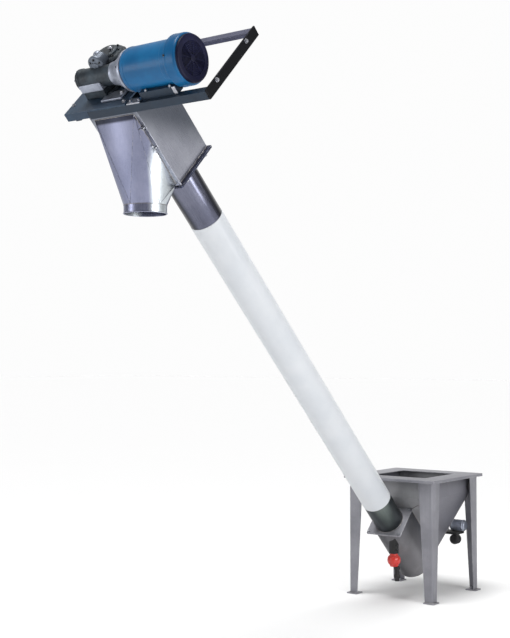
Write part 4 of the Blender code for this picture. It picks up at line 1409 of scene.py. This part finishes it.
def build_base():
    """The reducer's base, one light casting: the plate and web are shown in the dark case casting
    as painted shade, the pedestal and foot in the light casting.
    """
    middle = 0.044
    blocks = (
        # Painted shade: the plate and web take the dark casting
        ("base_plate", (-0.105, -0.140, FIT), (0.050, 0.100, 0.0197), CAST_DARK),
        ("base_web", (-0.088, -0.154, 0.010), (0.029, -0.090, middle), CAST_DARK),
        ("base_pedestal", (-0.092, -0.158, middle), (0.033, -0.088, 0.082), CAST_LIGHT),
        ("base_foot", (0.010, -0.185, FIT), (0.128, -0.120, 0.012), CAST_LIGHT),
    )
    for name, low, high, material in blocks:
        replaced = ["gear_base"] if name == "base_plate" else []
        show_block(name, low, high, material, "cast_light", *replaced, bevel=0.004, segments=4)


def build_reducer_plugs():
    """The round side cover, the filler boss and the vent knob."""
    facing_front = placed(DRIVE, (0.016, -0.048, 0.134), QUARTER, "X")
    cover = [(0.034, 0), (0.034, 0.038), (0.042, 0.040), (0.042, 0.051), (0.037, 0.056),
             (0.018, 0.057), (0.015, 0.063)]
    show_turned("side_cover", cover, (0.002, 4), 64, CAST_MID, facing_front, "cast_dark")
    ring = circle_points(0.0285, 6, 0.0565, 0.4)
    bolts("side_cover_bolts", ring, UP, facing_front, "cast_dark", 0.008, 0.0, DARK_BOLT)
    boss = [(0.019, 0.130), (0.019, 0.156), (0.016, 0.166), (0.009, 0.171), (0, 0.172)]
    place = placed(DRIVE, (0.002, -0.050, 0))
    show_turned("filler_boss", boss, (0.002, 4), 40, CAST_LIGHT, place, "cast_light")
    knob = [(0.006, 0.138), (0.006, 0.144), (0.010, 0.146), (0.010, 0.153), (0.006, 0.156),
            (0, 0.1565)]
    place = placed(DRIVE, (0.037, 0.0, 0))
    show_turned("vent_knob", knob, (0.0012, 3), 32, BOLT_STEEL, place, "cast_light")


def build_motor():
    blue, navy = "motor_blue", "cover_navy"
    radius = MOTOR_RADIUS
    cover = FAN_COVER_RADIUS
    start, body_end, end = MOTOR_START, MOTOR_BODY_END, FAN_COVER_END
    body = [
        (radius - 0.016, start), (radius - 0.006, start + 0.004),
        (radius - 0.0005, start + 0.014), (radius, start + 0.022), (radius, start + 0.026),
        (radius - 0.0012, start + 0.0272), (radius - 0.0012, body_end - 0.032),
        (radius, body_end - 0.0308), (radius, body_end - 0.004), (cover - 0.003, body_end),
        (cover, body_end + 0.003), (cover, body_end + 0.011), (cover - 0.0008, body_end + 0.013),
        (cover - 0.0008, end - 0.010), (cover - 0.004, end - 0.002), (cover - 0.010, end),
    ]
    show_turned("motor_shell", body, (0.003, 4), 128, MOTOR_PAINT, WORM, blue, "motor_body")
    start = end + FIT
    face = MOTOR_END
    rim = cover - 0.008
    dish = [(rim, start), (rim, face - 0.006), (rim - 0.003, face - 0.001),
            (rim - 0.010, face), (0.074, face), (0.072, face - 0.002), (0.072, face - 0.006)]
    show_turned(
        "fan_cover_dish", dish, (0.002, 4), 128, COVER_PAINT, WORM, navy, "motor_fan_cover"
    )
    grow(
        "fan_guard_wires", GRILLE_TREE, COVER_PAINT, placed(WORM, (0, 0, face - 0.0035)), navy,
        first_radius=0.014, ring_step=0.0072, rings=9, spokes=8, outer_radius=0.074,
        bar_radius=0.0015,
    )
    hub = [(0.015, face - 0.007), (0.015, face - 0.002), (0, face - 0.001)]
    show_turned("fan_guard_hub", hub, (0.001, 3), 40, COVER_PAINT, WORM, navy)
    for index, point in enumerate(circle_points(cover, 4, body_end + 0.007, math.pi / 4)):
        way = (point[0] / cover, point[1] / cover, 0)
        bolts(f"cover_screw_{index}", [point], way, WORM, blue, 0.007, 0.0, DARK_BOLT)
    build_conduit_box()


def build_conduit_box():
    dress("conduit_box", MOTOR_PAINT, 0.004, 4)
    back = WORM_BACK + MOTOR_RADIUS + 0.045
    low, high = WORM_HEIGHT - 0.055, WORM_HEIGHT + 0.022
    show_block(
        "conduit_lid", (0.287, back - 0.001, low - 0.003), (0.403, back + 0.004, high + 0.003),
        MOTOR_PAINT, "motor_blue", bevel=0.002, segments=3,
    )
    corners = [(x, back + 0.004, z) for x in (0.296, 0.394) for z in (low + 0.006, high - 0.006)]
    bolts("conduit_screws", corners, (0, 1, 0), DRIVE, "motor_blue", 0.008, 0.0)


# Fittings on the hopper


def build_vibrator():
    place = placed(STAND, (0.195, 0.195, 0.385))
    across = placed(place, ORIGIN, QUARTER, "Y")
    body = [
        (0.026, -0.050), (0.030, -0.044), (0.030, -0.038), (0.034, -0.037),
        (0.034, -0.031), (0.031, -0.030), (0.031, 0.026), (0.034, 0.027), (0.034, 0.033),
        (0.030, 0.034), (0.028, 0.041), (0.022, 0.045),
    ]
    show_turned(
        "vibrator_case", body, (0.0012, 3), 64, CAST_LIGHT, across, "cast_light",
        "vibrator_body",
    )
    grow(
        "vibrator_ribs", RIB_TREE, CAST_LIGHT, across, "cast_light", ribs=20,
        ring_radius=0.0315, rib_size=(0.003, 0.0022, 0.054), height=-0.002,
    )
    rotor = placed(place, (-0.010, -0.030, -0.080), QUARTER, "X")
    drum = [
        (0.022, -0.030), (0.028, -0.026), (0.030, -0.020), (0.030, 0.010),
        (0.028, 0.016), (0.020, 0.0195), (0.010, 0.020),
    ]
    show_turned(
        "vibrator_drum", drum, (0.001, 3), 56, RUBBER_BLACK, rotor, "rubber_black",
        "vibrator_rotor",
    )
    dress("vibrator_bracket", RUBBER_BLACK, 0.003, 3)
    spread = [(x, y, -0.0343) for x in (-0.080, -0.058) for y in (-0.050, 0.015)]
    bolts("bracket_bolts", spread, UP, place, "rubber_black", 0.010)


def build_valve():
    place = placed(STAND, (0.035, -0.290, 0.227))
    half = [(0.021, 0.037), (0.024, 0.034), (0.024, 0.028), (0.030, 0.024), (0.036, 0.014),
            (0.038, 0.004)]
    lower = [(radius, -z) for radius, z in reversed(half)]
    show_turned(
        "valve_case", half + lower, (0.002, 3), 64, VALVE_PAINT, place, "valve_red",
        "valve_body",
    )
    outlet = [
        (0.0135, -0.120), (0.0135, -0.104), (0.018, -0.100), (0.018, -0.086),
        (0.0135, -0.082), (0.0135, -0.056), (0.018, -0.052), (0.018, -0.0373),
    ]
    show_turned(
        "valve_spigot", outlet, (0.0012, 3), 40, RUBBER_BLACK,
        placed(place, (0.014, 0.010, 0)), "rubber_black", "valve_outlet",
    )
    dress("valve_mount", RUBBER_BLACK, 0.002, 3)
    spread = [(0.020, y, z) for y in (-0.010, 0.010) for z in (0.060, 0.085)]
    bolts("valve_mount_bolts", spread, (1, 0, 0), place, "rubber_black", 0.007, 0.0, DARK_BOLT)


# Surroundings

VIEW_PLACE = (3.330, -5.986, 1.388)
VIEW_LENS = 67.45
VIEW_AZIMUTH = math.radians(37.41)
VIEW_PITCH = math.radians(1.82)
VIEW_WAY = (-math.sin(VIEW_AZIMUTH), math.cos(VIEW_AZIMUTH), 0.0)
FLOOR_REACH = 60.0
FLOOR_LEVEL = -0.001


def put(name, data, place=ORIGIN, way=None):
    """Links an object to the scene, pointed along a way where one is given."""
    item = bpy.data.objects.new(name, data)
    item.location = place
    if way:
        item.rotation_euler = Vector(way).to_track_quat("-Z", "Y").to_euler()
    bpy.context.scene.collection.objects.link(item)
    return item


def build_floor():
    """A plain pale floor that reaches well past the view, just under the feet."""
    floor = bpy.data.meshes.new("studio_floor")
    edge = FLOOR_REACH
    corners = [(-edge, -edge), (edge, -edge), (edge, edge), (-edge, edge)]
    floor.from_pydata(at_height(corners, FLOOR_LEVEL), [], [(0, 1, 2, 3)])
    surface = bpy.data.materials.new("studio_floor_matt")
    surface.use_nodes = True
    shader = surface.node_tree.nodes["Principled BSDF"]
    shader.inputs["Base Color"].default_value = (0.88, 0.88, 0.88, 1)
    shader.inputs["Roughness"].default_value = 0.8
    shader.inputs["Specular IOR Level"].default_value = 0.0
    floor.materials.append(surface)
    put("studio_floor", floor)


def build_room():
    """Light behind the object, fading to grey behind the camera."""
    world = bpy.data.worlds.new("pale_room")
    world.use_nodes = True
    room = Nodes(world.node_tree)
    way = room.add("ShaderNodeTexCoord").outputs["Generated"]
    bright = room.ramp(room.dot(way, VIEW_WAY), 0.35, 0.93, 0.28, 0.98)
    room.feed(world.node_tree.nodes["Background"], "Color", bright)
    bpy.context.scene.world = world


def build_lights():
    """A wide light overhead and four soft square lamps."""
    sky = bpy.data.lights.new("overhead_light", "SUN")
    sky.energy = 2.4
    sky.angle = math.radians(32)
    put("overhead_light", sky, way=(0.04, 0.24, -1.0))
    for name, place, aim, size, power in (
        ("left_front_lamp", (-3.6, -6.4, 2.2), (0, -0.6, 0.8), 2.2, 60),
        ("right_lamp", (5.0, -1.5, 2.2), (0, -2.1, 2.3), 2.2, 130),
        ("side_lamp", (3.3, 1.45, 3.25), (0, -2.2, 2.2), 1.6, 4),
        ("low_right_lamp", (3.65, -0.58, 1.13), (0.08, -2.07, 2.13), 0.9, 14),
    ):
        lamp = bpy.data.lights.new(name, "AREA")
        lamp.shape = "SQUARE"
        lamp.size = size
        lamp.energy = power
        put(name, lamp, place, Vector(aim) - Vector(place))


def build_camera():
    data = bpy.data.cameras.new("photo_view")
    data.sensor_fit = "AUTO"
    data.sensor_width = 36.0
    data.lens = VIEW_LENS
    camera = put("photo_view", data, VIEW_PLACE)
    camera.rotation_euler = (QUARTER + VIEW_PITCH, 0, VIEW_AZIMUTH)
    bpy.context.scene.camera = camera


for build in (
    build_legs, build_rim, build_hopper, build_trough, build_inlet, build_tube, build_screw,
    build_housing, build_chute, build_frame, build_reducer, build_motor, build_vibrator,
    build_valve, build_floor, build_room, build_lights, build_camera,
):
    build()
bpy.context.scene.view_settings.view_transform = "Standard"
